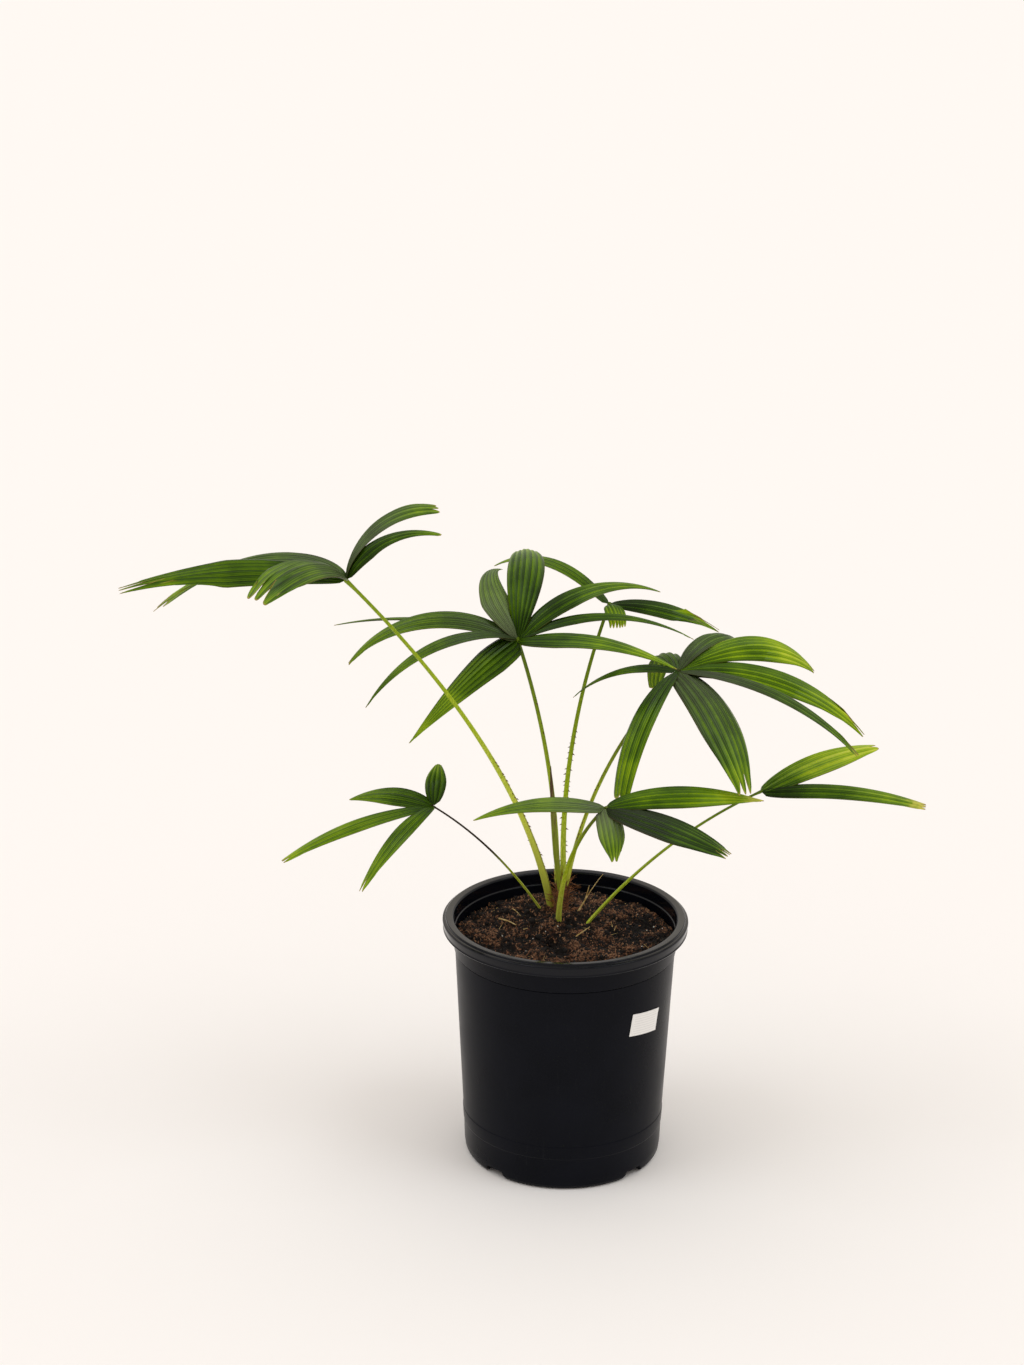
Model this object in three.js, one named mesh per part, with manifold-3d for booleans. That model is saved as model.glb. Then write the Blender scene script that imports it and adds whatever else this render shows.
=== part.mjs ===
// A young fan palm, livistona speciosa, in a black nursery pot.
// Millimetres, +Z up, origin at the centre of the pot's flat underside, -Y towards the viewer.

import * as THREE from 'three';
import { mergeVertices } from 'three/addons/utils/BufferGeometryUtils.js';
import Module from 'manifold-3d';

const wasm = await Module();
wasm.setup();

// Clearances
const SEAT_GAP = 0.35;

// Pot: a moulded 10-inch nursery pot with a rolled rim and four drain notches in its foot
const POT = {
  height: 260,
  lipRadius: 125,
  rimTopRadius: 122.5,
  rimDepth: 16,
  mouthRadius: 113.2,
  ledgeRadius: 110.4,
  ledgeDrop: 14,
  bodyTopRadius: 112.7,
  bodyFootRadius: 101.5,
  bodyFootZ: 12,
  footRadius: 95.5,
  wall: 2.4,
  floor: 3.2,
  stepZ: 225,
  stepDepth: 0.9,
  bandZ: [35, 49],
  bandDepth: 0.5,
  sides: 64,
};

const NOTCH = {
  angles: [47, 137, 227, 317],
  innerRadius: 86,
  outerRadius: 112,
  footWidth: 30,
  topWidth: 19,
  height: 9,
  shell: 2.4,
};

// Potting mix: nearly level at the wall, mounded round the crown
const SOIL = {
  wallZ: 235,
  wallGap: 0.35,
  moundRise: 17,
  moundSpread: 58,
  moundX: -2,
  moundY: 22,
  lump: 1.7,
  sides: 64,
};

// Crown: the short stem that the petioles sheathe, and the unopened spear
const CROWN = { x: -4, y: 29, footRadius: 6, topRadius: 7.2, top: 285 };
const SPEAR = { foot: [-6, 24], tip: [-17, 12, 417], radius: 2.8 };
const FOOT_DEPTH = 6;
const CROWN_LIFT = 1.1;

// Leaflet blades
const HUB_RADIUS = 5;
const BLADE = {
  start: HUB_RADIUS + 0.4,
  widestAt: 0.55,
  rootWidth: 0.06,
  tipWidth: 0.34,
  thicknessPerLength: 0.0115,
  leastThickness: 1.4,
  camber: 0.1,
  columns: [1, 0.5, 0, -0.5, -1],
  tipCut: [0.055, 0, 0.045, 0, 0.055],
  stationSpacing: 21,
  stepsPerStation: 8,
};

// Each frond: where its blades meet, where its petiole leaves the soil, how the petiole bows,
// and its leaflets. Heading is the compass angle from +X towards +Y, rise the angle at the hub,
// arch how far the leaflet turns down by its tip, all in degrees; lengths and widths in mm.
const FRONDS = [
  {
    name: 'upper_left', hub: [-210, -120, 650], foot: [-13.5, 36], bow: [35, -6, 3], thick: [3.7, 2.1],
    leaflets: [
      { heading: 52, rise: 64, arch: 80, bend: 0.6, length: 155, width: 28, roll: -25 },
      { heading: 5, rise: 58, arch: 72, length: 102, width: 25, roll: 18 },
      { heading: 185, rise: 17, arch: 32, bend: 0.6, length: 210, width: 36, roll: -38 },
      { heading: 155, rise: 38, arch: 80, bend: 0.45, length: 225, width: 28 },
      { heading: 235, rise: 46, arch: 80, bend: 0.9, length: 136, width: 36, roll: 10 },
    ],
  },
  {
    name: 'centre', hub: [-51, 20, 547], foot: [-8.2, 31.5], bow: [10, 4, -2], thick: [3.1, 2.1], onCrown: true,
    leaflets: [
      { heading: 159, rise: 15, arch: 34, bend: 0.8, length: 200, width: 24, roll: 20 },
      { heading: 181, rise: 31, arch: 80, length: 180, width: 28, roll: -5 },
      { heading: 200, rise: 15, arch: 72, length: 172, width: 26 },
      { heading: 225, rise: -12, arch: 21, bend: 0.5, length: 159, width: 30, roll: -12 },
      { heading: 137, rise: 66, arch: 84, sweep: -60, length: 116, width: 28, roll: 10 },
      { heading: 84, rise: 72, arch: 112, length: 160, width: 36 },
      { heading: 25, rise: 52, arch: 80, bend: 0.9, length: 168, width: 28, roll: 5 },
      { heading: 5, rise: 36, arch: 68, bend: 0.8, length: 178, width: 21 },
      { heading: -30, rise: 15, arch: 34, length: 175, width: 26 },
    ],
  },
  {
    name: 'back', hub: [40, 130, 550], foot: [-2.5, 33.6], bow: [-14, 0, 0], thick: [3.1, 1.9], onCrown: true,
    leaflets: [
      { heading: 150, rise: 42, arch: 114, bend: 1.2, length: 200, width: 22 },
      { heading: 0, rise: 8, arch: 42, bend: 0.8, length: 114, width: 32, roll: 15 },
      { heading: -70, rise: 15, arch: 110, length: 34, width: 20 },
    ],
  },
  {
    name: 'right', hub: [108, 10, 520], foot: [0.7, 28], bow: [-15, 0, 10], thick: [3.1, 2.1], onCrown: true,
    leaflets: [
      { heading: 170, rise: 15, arch: 64, bend: 0.8, length: 110, width: 20 },
      { heading: 118, rise: 30, arch: 125, bend: 0.7, length: 80, width: 24 },
      { heading: -120, rise: 0, arch: 80, bend: 0.9, length: 152, width: 24, roll: 10 },
      { heading: -62, rise: 0, arch: 62, bend: 0.9, length: 160, width: 42 },
      { heading: 20, rise: 23, arch: 74, bend: 1.4, length: 155, width: 34, roll: 15 },
      { heading: -5, rise: 13, arch: 63, length: 199, width: 34, roll: 20 },
      { heading: -25, rise: 4, arch: 43, bend: 0.9, length: 200, width: 22, roll: -5 },
      { heading: 50, rise: 48, arch: 95, bend: 0.9, length: 110, width: 22 },
    ],
  },
  {
    name: 'low_front', hub: [37, -110, 421], foot: [-6, 18], bow: [-11, 4, 6], thick: [3.2, 1.9],
    leaflets: [
      { heading: 185, rise: 16, arch: 44, length: 124, width: 26, roll: -3 },
      { heading: 5, rise: 27, arch: 40, bend: 0.5, length: 150, width: 30, roll: 18 },
      { heading: -30, rise: 1, arch: 20, length: 130, width: 34 },
      { heading: -75, rise: -22, arch: 70, length: 54, width: 27 },
    ],
  },
  {
    name: 'low_right', hub: [195, 30, 386], foot: [23, 19], bow: [-7, 0, 10], thick: [2.3, 1.6],
    leaflets: [
      { heading: 30, rise: 22, arch: 30, length: 142, width: 30 },
      { heading: -5, rise: 9, arch: 26, length: 162, width: 26, roll: 8 },
    ],
  },
  {
    name: 'low_left', hub: [-134, 0, 376], foot: [-26, 50], bow: [6, 0, 8], thick: [1.8, 1.2],
    leaflets: [
      { heading: 165, rise: 25, arch: 52, bend: 0.8, length: 87, width: 24, roll: -8 },
      { heading: 205, rise: 4, arch: 33, length: 160, width: 24 },
      { heading: 237, rise: 9, arch: 52, bend: 0.6, length: 130, width: 22, roll: 10 },
      { heading: 85, rise: 68, arch: 60, length: 45, width: 20 },
    ],
  },
];

// Price and care label: a blank sticker on the pot's right front
const LABEL = { angle: -42, z: 176, width: 40, height: 24, tilt: -8, thickness: 0.6, gap: 0.42, columns: 8 };

// Colours and finishes
const FINISHES = {
  pot: { color: 0x17191c, roughness: 0.45, metalness: 0 },
  soil: { color: 0x3a2a1e, roughness: 0.95, metalness: 0 },
  crown: { color: 0x6b4326, roughness: 0.85, metalness: 0 },
  petiole: { color: 0x7f9a2e, roughness: 0.5, metalness: 0 },
  leaflet: { color: 0x2f6a1c, roughness: 0.42, metalness: 0 },
  spear: { color: 0x5b5a2c, roughness: 0.7, metalness: 0 },
  label: { color: 0xf2f2ef, roughness: 0.6, metalness: 0 },
};

const part = new THREE.Group();

function addNode(name, geometry, finish) {
  const mesh = new THREE.Mesh(geometry, new THREE.MeshStandardMaterial(FINISHES[finish]));
  mesh.name = name;
  part.add(mesh);
}

const radians = THREE.MathUtils.degToRad;

// Booleans
function toSolid(geometry) {
  const bare = geometry.clone();
  bare.deleteAttribute('normal');
  bare.deleteAttribute('uv');
  const merged = mergeVertices(bare, 1e-4);
  return new wasm.Manifold(new wasm.Mesh({
    numProp: 3,
    vertProperties: new Float32Array(merged.attributes.position.array),
    triVerts: new Uint32Array(merged.index.array),
  }));
}

function toGeometry(solid) {
  const mesh = solid.getMesh();
  const geometry = new THREE.BufferGeometry();
  geometry.setAttribute('position', new THREE.BufferAttribute(new Float32Array(mesh.vertProperties), 3));
  geometry.setIndex(new THREE.BufferAttribute(new Uint32Array(mesh.triVerts), 1));
  geometry.computeVertexNormals();
  return geometry;
}

// Turned form: a profile of [radius, z] pairs that starts and ends on the axis
function turned(profile, sides) {
  const points = profile.map(([radius, z]) => new THREE.Vector2(radius, z));
  return new THREE.LatheGeometry(points, sides).rotateX(Math.PI / 2);
}

// Lofted form: closed rings of equal count, joined side to side, with both ends closed.
// A ring runs along its upper side and back along its lower side, so an end is a strip of quads.
function lofted(rings) {
  const count = rings[0].length;
  const half = count / 2;
  const positions = rings.flat().flatMap((p) => [p.x, p.y, p.z]);
  const faces = [];
  for (let i = 0; i < rings.length - 1; i += 1) {
    for (let j = 0; j < count; j += 1) {
      const a = i * count + j;
      const b = i * count + ((j + 1) % count);
      faces.push(a, b, b + count, a, b + count, a + count);
    }
  }
  const last = (rings.length - 1) * count;
  for (let j = 0; j < half - 1; j += 1) {
    const under = count - 1 - j;
    faces.push(j, under - 1, j + 1, j, under, under - 1);
    faces.push(last + j, last + j + 1, last + under - 1, last + j, last + under - 1, last + under);
  }
  const geometry = new THREE.BufferGeometry();
  geometry.setAttribute('position', new THREE.Float32BufferAttribute(positions, 3));
  geometry.setIndex(faces);
  geometry.computeVertexNormals();
  return geometry;
}

// Pot
function bodyRadius(z) {
  const t = (z - POT.bodyFootZ) / (POT.height - POT.rimDepth - POT.bodyFootZ);
  return THREE.MathUtils.lerp(POT.bodyFootRadius, POT.bodyTopRadius, t);
}

// The plain panel between the foot band and the step lies a little inside the body's taper
const PANEL_FOOT = POT.bandZ[1] + 1;
const PANEL_TOP = POT.stepZ - 1;

function panelRadius(z) {
  const t = (z - PANEL_FOOT) / (PANEL_TOP - PANEL_FOOT);
  return bodyRadius(z) - THREE.MathUtils.lerp(POT.bandDepth, POT.stepDepth, t);
}

function potProfile() {
  const H = POT.height;
  const rimZ = H - POT.rimDepth;
  const outside = [
    [0, 0],
    [POT.footRadius, 0],
    [POT.footRadius + 3.2, 1.4],
    [POT.footRadius + 5, 4.6],
    [POT.bodyFootRadius, POT.bodyFootZ],
    [bodyRadius(POT.bandZ[0]) - POT.bandDepth, POT.bandZ[0]],
    [bodyRadius(POT.bandZ[0]), POT.bandZ[0] + 1],
    [bodyRadius(POT.bandZ[1]), POT.bandZ[1]],
    [panelRadius(PANEL_FOOT), PANEL_FOOT],
    [panelRadius(PANEL_TOP), PANEL_TOP],
    [bodyRadius(POT.stepZ), POT.stepZ],
    [POT.bodyTopRadius, rimZ],
    [POT.lipRadius - 3.6, rimZ + 0.6],
    [POT.lipRadius - 2.2, rimZ + 2.6],
    [POT.lipRadius - 0.6, rimZ + 4.6],
    [POT.lipRadius, H - 8.5],
    [POT.lipRadius - 0.5, H - 5],
    [POT.lipRadius - 1.8, H - 4.2],
    [POT.rimTopRadius, H - 1.2],
    [POT.rimTopRadius - 1.6, H],
  ];
  const inside = [
    [POT.mouthRadius + 1.5, H - 0.6],
    [POT.mouthRadius, H - 2],
    [POT.mouthRadius - 0.6, H - POT.ledgeDrop + 0.6],
    [POT.ledgeRadius, H - POT.ledgeDrop],
    [bodyRadius(POT.bodyFootZ) - POT.wall, POT.bodyFootZ],
    [POT.footRadius - 0.5, POT.floor],
    [0, POT.floor],
  ];
  return [...outside, ...inside];
}

// A notch is a wedge that is narrower at its top; its pocket is the same wedge, one wall larger
function notchWedge(angle, grow, innerRadius, outerRadius, bottom, top) {
  const slope = (NOTCH.footWidth - NOTCH.topWidth) / 2 / NOTCH.height;
  const halfAt = (z) => NOTCH.footWidth / 2 - slope * z + grow;
  const shape = new THREE.Shape([
    new THREE.Vector2(-halfAt(bottom), bottom),
    new THREE.Vector2(halfAt(bottom), bottom),
    new THREE.Vector2(halfAt(top), top),
    new THREE.Vector2(-halfAt(top), top),
  ]);
  const wedge = new THREE.ExtrudeGeometry(shape, { depth: outerRadius - innerRadius, bevelEnabled: false });
  return wedge
    .rotateX(Math.PI / 2)
    .rotateZ(Math.PI / 2)
    .translate(innerRadius, 0, 0)
    .rotateZ(radians(angle));
}

function makePot() {
  let pot = toSolid(turned(potProfile(), POT.sides));
  const pocketTop = NOTCH.height + NOTCH.shell;
  const pocketInner = NOTCH.innerRadius - NOTCH.shell;
  for (const angle of NOTCH.angles) {
    const pocket = notchWedge(angle, NOTCH.shell, pocketInner, POT.footRadius, POT.floor / 2, pocketTop);
    pot = pot.add(toSolid(pocket));
  }
  for (const angle of NOTCH.angles) {
    const cut = notchWedge(angle, 0, NOTCH.innerRadius, NOTCH.outerRadius, -1, NOTCH.height);
    pot = pot.subtract(toSolid(cut));
  }
  return pot;
}

// Soil
function soilHeight(x, y) {
  const fromMound = Math.hypot(x - SOIL.moundX, y - SOIL.moundY) / SOIL.moundSpread;
  const mound = SOIL.moundRise * Math.exp(-fromMound * fromMound);
  const lumps = Math.sin(x / 9 + 1.3) * Math.sin(y / 8 - 0.4) + 0.7 * Math.sin(x / 17 - y / 13 + 2);
  return SOIL.wallZ + mound + SOIL.lump * lumps;
}

function makeSoil(standing) {
  const wallRadiusAt = (z) => {
    const foot = bodyRadius(POT.bodyFootZ) - POT.wall;
    const t = (z - POT.bodyFootZ) / (POT.height - POT.ledgeDrop - POT.bodyFootZ);
    return THREE.MathUtils.lerp(foot, POT.ledgeRadius, t) - SOIL.wallGap;
  };
  const edgeRadius = wallRadiusAt(SOIL.wallZ);
  const topRings = [1, 0.94, 0.86, 0.75, 0.62, 0.48, 0.34, 0.2, 0.08, 0].map((f) => f * edgeRadius);
  const profile = [
    [0, POT.floor + SEAT_GAP],
    [POT.footRadius - 1.2, POT.floor + SEAT_GAP],
    [wallRadiusAt(POT.bodyFootZ), POT.bodyFootZ + 0.4],
    ...topRings.map((radius) => [radius, SOIL.wallZ]),
  ];
  const geometry = turned(profile, SOIL.sides);
  const position = geometry.attributes.position;
  const firstTop = profile.length - topRings.length;
  for (let i = 0; i < position.count; i += 1) {
    const ring = (i % profile.length) - firstTop;
    if (ring === 0) {
      position.setZ(i, SOIL.wallZ);
    } else if (ring > 0) {
      position.setZ(i, soilHeight(position.getX(i), position.getY(i)));
    }
  }
  let soil = toSolid(geometry);
  const pocketTop = NOTCH.height + NOTCH.shell + SEAT_GAP;
  const pocketInner = NOTCH.innerRadius - NOTCH.shell - SEAT_GAP;
  for (const angle of NOTCH.angles) {
    const grow = NOTCH.shell + SEAT_GAP;
    soil = soil.subtract(toSolid(notchWedge(angle, grow, pocketInner, NOTCH.outerRadius, 0, pocketTop)));
  }
  for (const socket of standing) {
    soil = soil.subtract(toSolid(socket));
  }
  return soil;
}

// Crown stem: `grow` larger, it is also its own socket in the soil
function crownStem(grow) {
  const foot = soilHeight(CROWN.x, CROWN.y) - FOOT_DEPTH - grow;
  const profile = [
    [0, foot],
    [CROWN.footRadius + grow, foot],
    [CROWN.footRadius + grow, foot + 14],
    [CROWN.topRadius + grow, CROWN.top - 9],
    [CROWN.topRadius - 1 + grow, CROWN.top],
    [0, CROWN.top],
  ];
  return turned(profile, 12).translate(CROWN.x, CROWN.y, 0);
}

function ringAbout(centre, along, radius, sides) {
  const across = new THREE.Vector3(0, 1, 0).cross(along).normalize();
  const over = new THREE.Vector3().crossVectors(along, across);
  const ring = [];
  for (let j = 0; j < sides; j += 1) {
    const turn = (j / sides) * 2 * Math.PI;
    ring.push(centre.clone()
      .addScaledVector(across, radius * Math.cos(turn))
      .addScaledVector(over, radius * Math.sin(turn)));
  }
  return ring;
}

// Spear: stands on the crown and tapers to its tip
function spear() {
  const foot = new THREE.Vector3(...SPEAR.foot, CROWN.top + CROWN_LIFT);
  const tip = new THREE.Vector3(...SPEAR.tip);
  const along = tip.clone().sub(foot).normalize();
  const girth = [[0, 0.7], [0.25, 1], [0.6, 0.85], [0.85, 0.5], [1, 0.15]];
  return lofted(girth.map(([t, share]) => (
    ringAbout(foot.clone().lerp(tip, t), along, SPEAR.radius * share, 8))));
}

// Petiole: bows from its foot in the soil or on the crown to the hub, tapers, and ends in the
// round hub
function petioleAxis(frond) {
  const [x, y] = frond.foot;
  const footZ = frond.onCrown ? CROWN.top + CROWN_LIFT : soilHeight(x, y) - FOOT_DEPTH;
  const foot = new THREE.Vector3(x, y, footZ);
  const hub = new THREE.Vector3(...frond.hub);
  const bend = foot.clone().lerp(hub, 0.5).addScaledVector(new THREE.Vector3(...frond.bow), 2);
  return new THREE.QuadraticBezierCurve3(foot, bend, hub);
}

function petiole(frond, grow) {
  const curve = petioleAxis(frond);
  const reach = curve.getLength();
  const steps = Math.max(8, Math.round(reach / 32));
  const [footRadius, tipRadius] = frond.thick;
  const hubFrom = 1 - (HUB_RADIUS + 2) / reach;
  const rings = [];
  const place = (t, radius, drop = 0) => {
    const along = curve.getTangentAt(Math.min(t, 1));
    const centre = curve.getPointAt(Math.min(t, 1)).addScaledVector(along, drop);
    rings.push(ringAbout(centre, along, radius + grow, 8));
  };
  if (grow > 0) {
    place(0, footRadius, -grow);
  }
  for (let i = 0; i <= steps; i += 1) {
    const t = (i / steps) * hubFrom;
    const slim = Math.pow(1 - i / steps, 2.2);
    place(t, THREE.MathUtils.lerp(tipRadius, footRadius, slim));
  }
  for (const latitude of [-55, -25, 10, 45, 75]) {
    const turn = radians(latitude);
    place(1, HUB_RADIUS * Math.cos(turn), HUB_RADIUS * Math.sin(turn));
  }
  return lofted(rings);
}

// Leaflet: a thin blade that leaves the hub at its heading and rise and arches over by its tip
function widthAt(t) {
  const { widestAt, rootWidth, tipWidth } = BLADE;
  if (t < widestAt) {
    const grow = Math.pow(Math.sin((Math.PI / 2) * (t / widestAt)), 1.15);
    return rootWidth + (1 - rootWidth) * grow;
  }
  return 1 - (1 - tipWidth) * Math.pow((t - widestAt) / (1 - widestAt), 2.2);
}

function leafletStations(hub, { heading, rise, arch, length, roll = 0, sweep = 0, bend = 1 }, count) {
  const steps = count * BLADE.stepsPerStation;
  const aim = (t) => {
    const turn = radians(heading + sweep * t);
    const climb = radians(rise - arch * Math.pow(t, bend));
    return new THREE.Vector3(
      Math.cos(turn) * Math.cos(climb), Math.sin(turn) * Math.cos(climb), Math.sin(climb));
  };
  const point = new THREE.Vector3(...hub).addScaledVector(aim(0), BLADE.start);
  const stations = [];
  for (let k = 0; k <= steps; k += 1) {
    const t = k / steps;
    if (k > 0) {
      point.addScaledVector(aim(t - 0.5 / steps), length / steps);
    }
    if (k % BLADE.stepsPerStation === 0) {
      const along = aim(t);
      const turn = radians(heading + sweep * t);
      const level = new THREE.Vector3(-Math.sin(turn), Math.cos(turn), 0);
      const side = level.clone().applyAxisAngle(along, radians(roll));
      const up = new THREE.Vector3().crossVectors(along, side);
      stations.push({ t, point: point.clone(), along, side, up });
    }
  }
  return stations;
}

function leaflet(hub, spec) {
  const count = Math.max(4, Math.round(spec.length / BLADE.stationSpacing));
  const full = Math.max(BLADE.leastThickness, spec.length * BLADE.thicknessPerLength);
  const rings = leafletStations(hub, spec, count).map(({ t, point, along, side, up }) => {
    const half = (spec.width * widthAt(t)) / 2;
    const thickness = full * Math.min(1, 0.5 + 4 * t);
    const placed = (column, below) => {
      const cut = t === 1 ? -BLADE.tipCut[column] * spec.length : 0;
      const across = BLADE.columns[column];
      const height = -BLADE.camber * 2 * half * across * across - below * thickness;
      return point.clone()
        .addScaledVector(side, half * across)
        .addScaledVector(up, height)
        .addScaledVector(along, cut);
    };
    const columns = BLADE.columns.map((_, column) => column);
    const upper = columns.map((column) => placed(column, 0));
    const lower = columns.reverse().map((column) => placed(column, 1));
    return [...upper, ...lower];
  });
  return lofted(rings);
}

// Label: a thin plate that follows the pot's wall, just off it
function label() {
  const rings = [];
  for (let i = 0; i <= LABEL.columns; i += 1) {
    const across = (i / LABEL.columns - 0.5) * LABEL.width;
    const corner = (over, out) => {
      const tilt = radians(LABEL.tilt);
      const s = across * Math.cos(tilt) - over * Math.sin(tilt);
      const z = LABEL.z + across * Math.sin(tilt) + over * Math.cos(tilt);
      const radius = panelRadius(z) + LABEL.gap + out;
      const turn = radians(LABEL.angle) + s / panelRadius(LABEL.z);
      return new THREE.Vector3(radius * Math.cos(turn), radius * Math.sin(turn), z);
    };
    const low = -LABEL.height / 2;
    const high = LABEL.height / 2;
    rings.push([
      corner(high, LABEL.thickness), corner(low, LABEL.thickness), corner(low, 0), corner(high, 0),
    ]);
  }
  return lofted(rings);
}

const sockets = FRONDS.filter((frond) => !frond.onCrown).map((frond) => petiole(frond, SEAT_GAP));
sockets.push(crownStem(SEAT_GAP));

addNode('pot', toGeometry(makePot()), 'pot');
addNode('soil', toGeometry(makeSoil(sockets)), 'soil');
addNode('crown_stem', crownStem(0), 'crown');
addNode('spear', spear(), 'spear');
for (const frond of FRONDS) {
  addNode(`petiole_${frond.name}`, petiole(frond, 0), 'petiole');
  frond.leaflets.forEach((spec, index) => {
    addNode(`leaflet_${frond.name}_${index + 1}`, leaflet(frond.hub, spec), 'leaflet');
  });
}
addNode('label', label(), 'label');

export default part;
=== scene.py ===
"""A young fan palm, livistona speciosa, in a black nursery pot. Each piece has its own operator."""

import math
import random

import bmesh
import bpy
from bpy.props import FloatProperty, FloatVectorProperty, IntProperty, PointerProperty
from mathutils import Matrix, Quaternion, Vector, noise


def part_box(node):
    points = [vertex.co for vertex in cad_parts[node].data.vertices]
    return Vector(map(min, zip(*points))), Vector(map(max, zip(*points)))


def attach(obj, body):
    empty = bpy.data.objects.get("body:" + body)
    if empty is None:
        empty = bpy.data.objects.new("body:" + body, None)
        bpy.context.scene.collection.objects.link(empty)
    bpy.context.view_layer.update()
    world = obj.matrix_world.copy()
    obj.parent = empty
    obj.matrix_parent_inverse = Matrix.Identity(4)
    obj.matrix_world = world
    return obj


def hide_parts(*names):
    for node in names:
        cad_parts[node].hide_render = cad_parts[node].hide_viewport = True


bl_info = {
    "name": "Potted fan palm",
    "version": (1, 0, 0),
    "blender": (4, 5, 0),
    "location": "View3D > Sidebar > Fan palm",
    "description": "Builds a young livistona palm in a nursery pot, piece by piece",
    "category": "Add Mesh",
}

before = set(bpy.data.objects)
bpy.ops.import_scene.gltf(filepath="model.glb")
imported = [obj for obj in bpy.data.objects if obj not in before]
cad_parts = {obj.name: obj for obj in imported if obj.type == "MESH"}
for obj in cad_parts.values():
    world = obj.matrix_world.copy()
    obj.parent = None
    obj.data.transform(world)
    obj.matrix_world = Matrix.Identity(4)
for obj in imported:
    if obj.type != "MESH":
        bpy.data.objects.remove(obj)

MM = 0.001
BODY = "root"

# Places taken from the frame
POT_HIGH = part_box("pot")[1]
POT_HEIGHT = POT_HIGH.z
LIP_RADIUS = POT_HIGH.x
CROWN_LOW, CROWN_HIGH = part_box("crown_stem")
SPEAR_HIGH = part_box("spear")[1]

# Pot wall, measured from the lip or the foot
RIM_TOP_RADIUS = LIP_RADIUS - 3.4 * MM
RIM_DEPTH = 14.4 * MM
RIM_FOOT_Z = POT_HEIGHT - RIM_DEPTH
MOUTH_RADIUS = LIP_RADIUS - 11.8 * MM
LEDGE_RADIUS = LIP_RADIUS - 13.6 * MM
LEDGE_DROP = 14 * MM
BODY_TOP_RADIUS = LIP_RADIUS - 11 * MM
BODY_FOOT_RADIUS = 101.5 * MM
BODY_FOOT_Z = 12 * MM
FOOT_RADIUS = 95.5 * MM
FOOT_RECESS = 1.2 * MM
POT_WALL = 2.4 * MM
POT_FLOOR = 3.2 * MM
STEP_Z = 225 * MM
STEP_DEPTH = 0.9 * MM
BAND_Z = (35 * MM, 49 * MM)
BAND_DEPTH = 0.5 * MM

# The rim's outside in millimetres: how far in from the lip, and how far above its foot or below its top
RIM_LOW = ((3.2, 0.2), (1.2, 0.9), (0.5, 2), (1.3, 3), (1.2, 4.2))
RIM_HIGH = ((0, 4.4), (0.3, 3), (1.9, 2.2), (2.9, 2))

# Drain notches in the foot
NOTCH_ANGLES = (47, 137, 227, 317)
NOTCH_INNER = 86 * MM
NOTCH_OUTER = 112 * MM
NOTCH_FOOT = 30 * MM
NOTCH_TOP = 19 * MM
NOTCH_HEIGHT = 9 * MM
NOTCH_SHELL = 2.4 * MM

# Potting mix
SOIL_WALL_Z = 237.5 * MM
SOIL_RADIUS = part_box("soil")[1].x
SOIL_SKIRT = 18 * MM
MOUND_RISE = 14.5 * MM
MOUND_SPREAD = 58 * MM
MOUND = Vector((-2 * MM, 22 * MM))
LUMP_RISE = 1.7 * MM
CLOD_SPREAD = 17 * MM
CRUMB_SPREAD = 4.2 * MM

# Clods on the mix: place, radius and height in millimetres, and how dry each is. A hollow has a height
# below zero
CLODS = (
    (-75, -19, 15, 9, 0.95), (-16, -10, 11, 6, 0.7), (39, -15, 9, 7, 1.0), (19, -66, 13, 7, 1.0),
    (67, -43, 8, 4, 0.9), (-46, -68, 11, 5, 0.9), (-8, -80, 9, 4, 0.9), (50, -58, 10, 4, 0.8),
    (-40, 4, 8, 4, 0.5), (8, -40, 9, 4, 0.8), (-66, 42, 9, 4, 0.3), (40, 52, 10, 4, 0.5),
    (-14, -32, 6, -7, 0.0), (72, 22, 20, -2, 0.05), (6, -62, 4, -5, 0.0), (-30, -52, 9, 4, 0.7),
)

# Loose straw: how many bits, and in millimetres how far out they start and how far out one may end
STRAW_BITS = 16
STRAW_SPREAD = 100
STRAW_LIMIT = 102
STRAW_SEED = 8

# Crown, with the heights over which its ridges wind and its foot flares
CROWN = (CROWN_LOW + CROWN_HIGH) / 2
CROWN_TOP = CROWN_HIGH.z
CROWN_RADIUS = (CROWN_HIGH.x - CROWN_LOW.x) / 2
CROWN_LIFT = 1.1 * MM
RIDGE_HEIGHT = 9 * MM
FLARE_HEIGHT = 9 * MM
FIBRE_MAT_GRAIN = 2.5 * MM

# Petioles: how deep they stand, how they taper and swell where the hub is, and their tone at both ends
FOOT_DEPTH = 6 * MM
CROWN_DEPTH = 16 * MM
GIRTH_TAPER = 1.7
HUB_SWELL = 0.35
HUB_SWELL_REACH = 0.015
FOOT_TONE = 1.0
TOP_TONE = 0.34
FLAT_UPPER_SIDE = 0.45
THORN_JITTER = 1.5 * MM

# Spear: its place, and in millimetres how far its middle leans out and its radius at shares of its length
SPEAR_FOOT = Vector((-6 * MM, 24 * MM, CROWN_TOP + CROWN_LIFT - 10 * MM))
SPEAR_TIP = Vector((-17 * MM, 12 * MM, SPEAR_HIGH.z - 0.4 * MM))
SPEAR_LEAN = 1.2
SPEAR_GIRTHS = ((0.0, 2.0), (0.3, 2.8), (0.6, 2.4), (0.85, 1.4), (1.0, 0.3))

# Leaflet blades
HUB_RADIUS = 5 * MM
BLADE_START = HUB_RADIUS + 0.4 * MM
BLADE_SUNK = 1.2 * MM
ROOT_WIDTH = 0.06
STATION_SPACING = 4.5 * MM
WALK_STEPS = 4
BLADE_VALUES = ("pleats", "lobes", "split", "point", "tone", "dry", "bloom")


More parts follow.
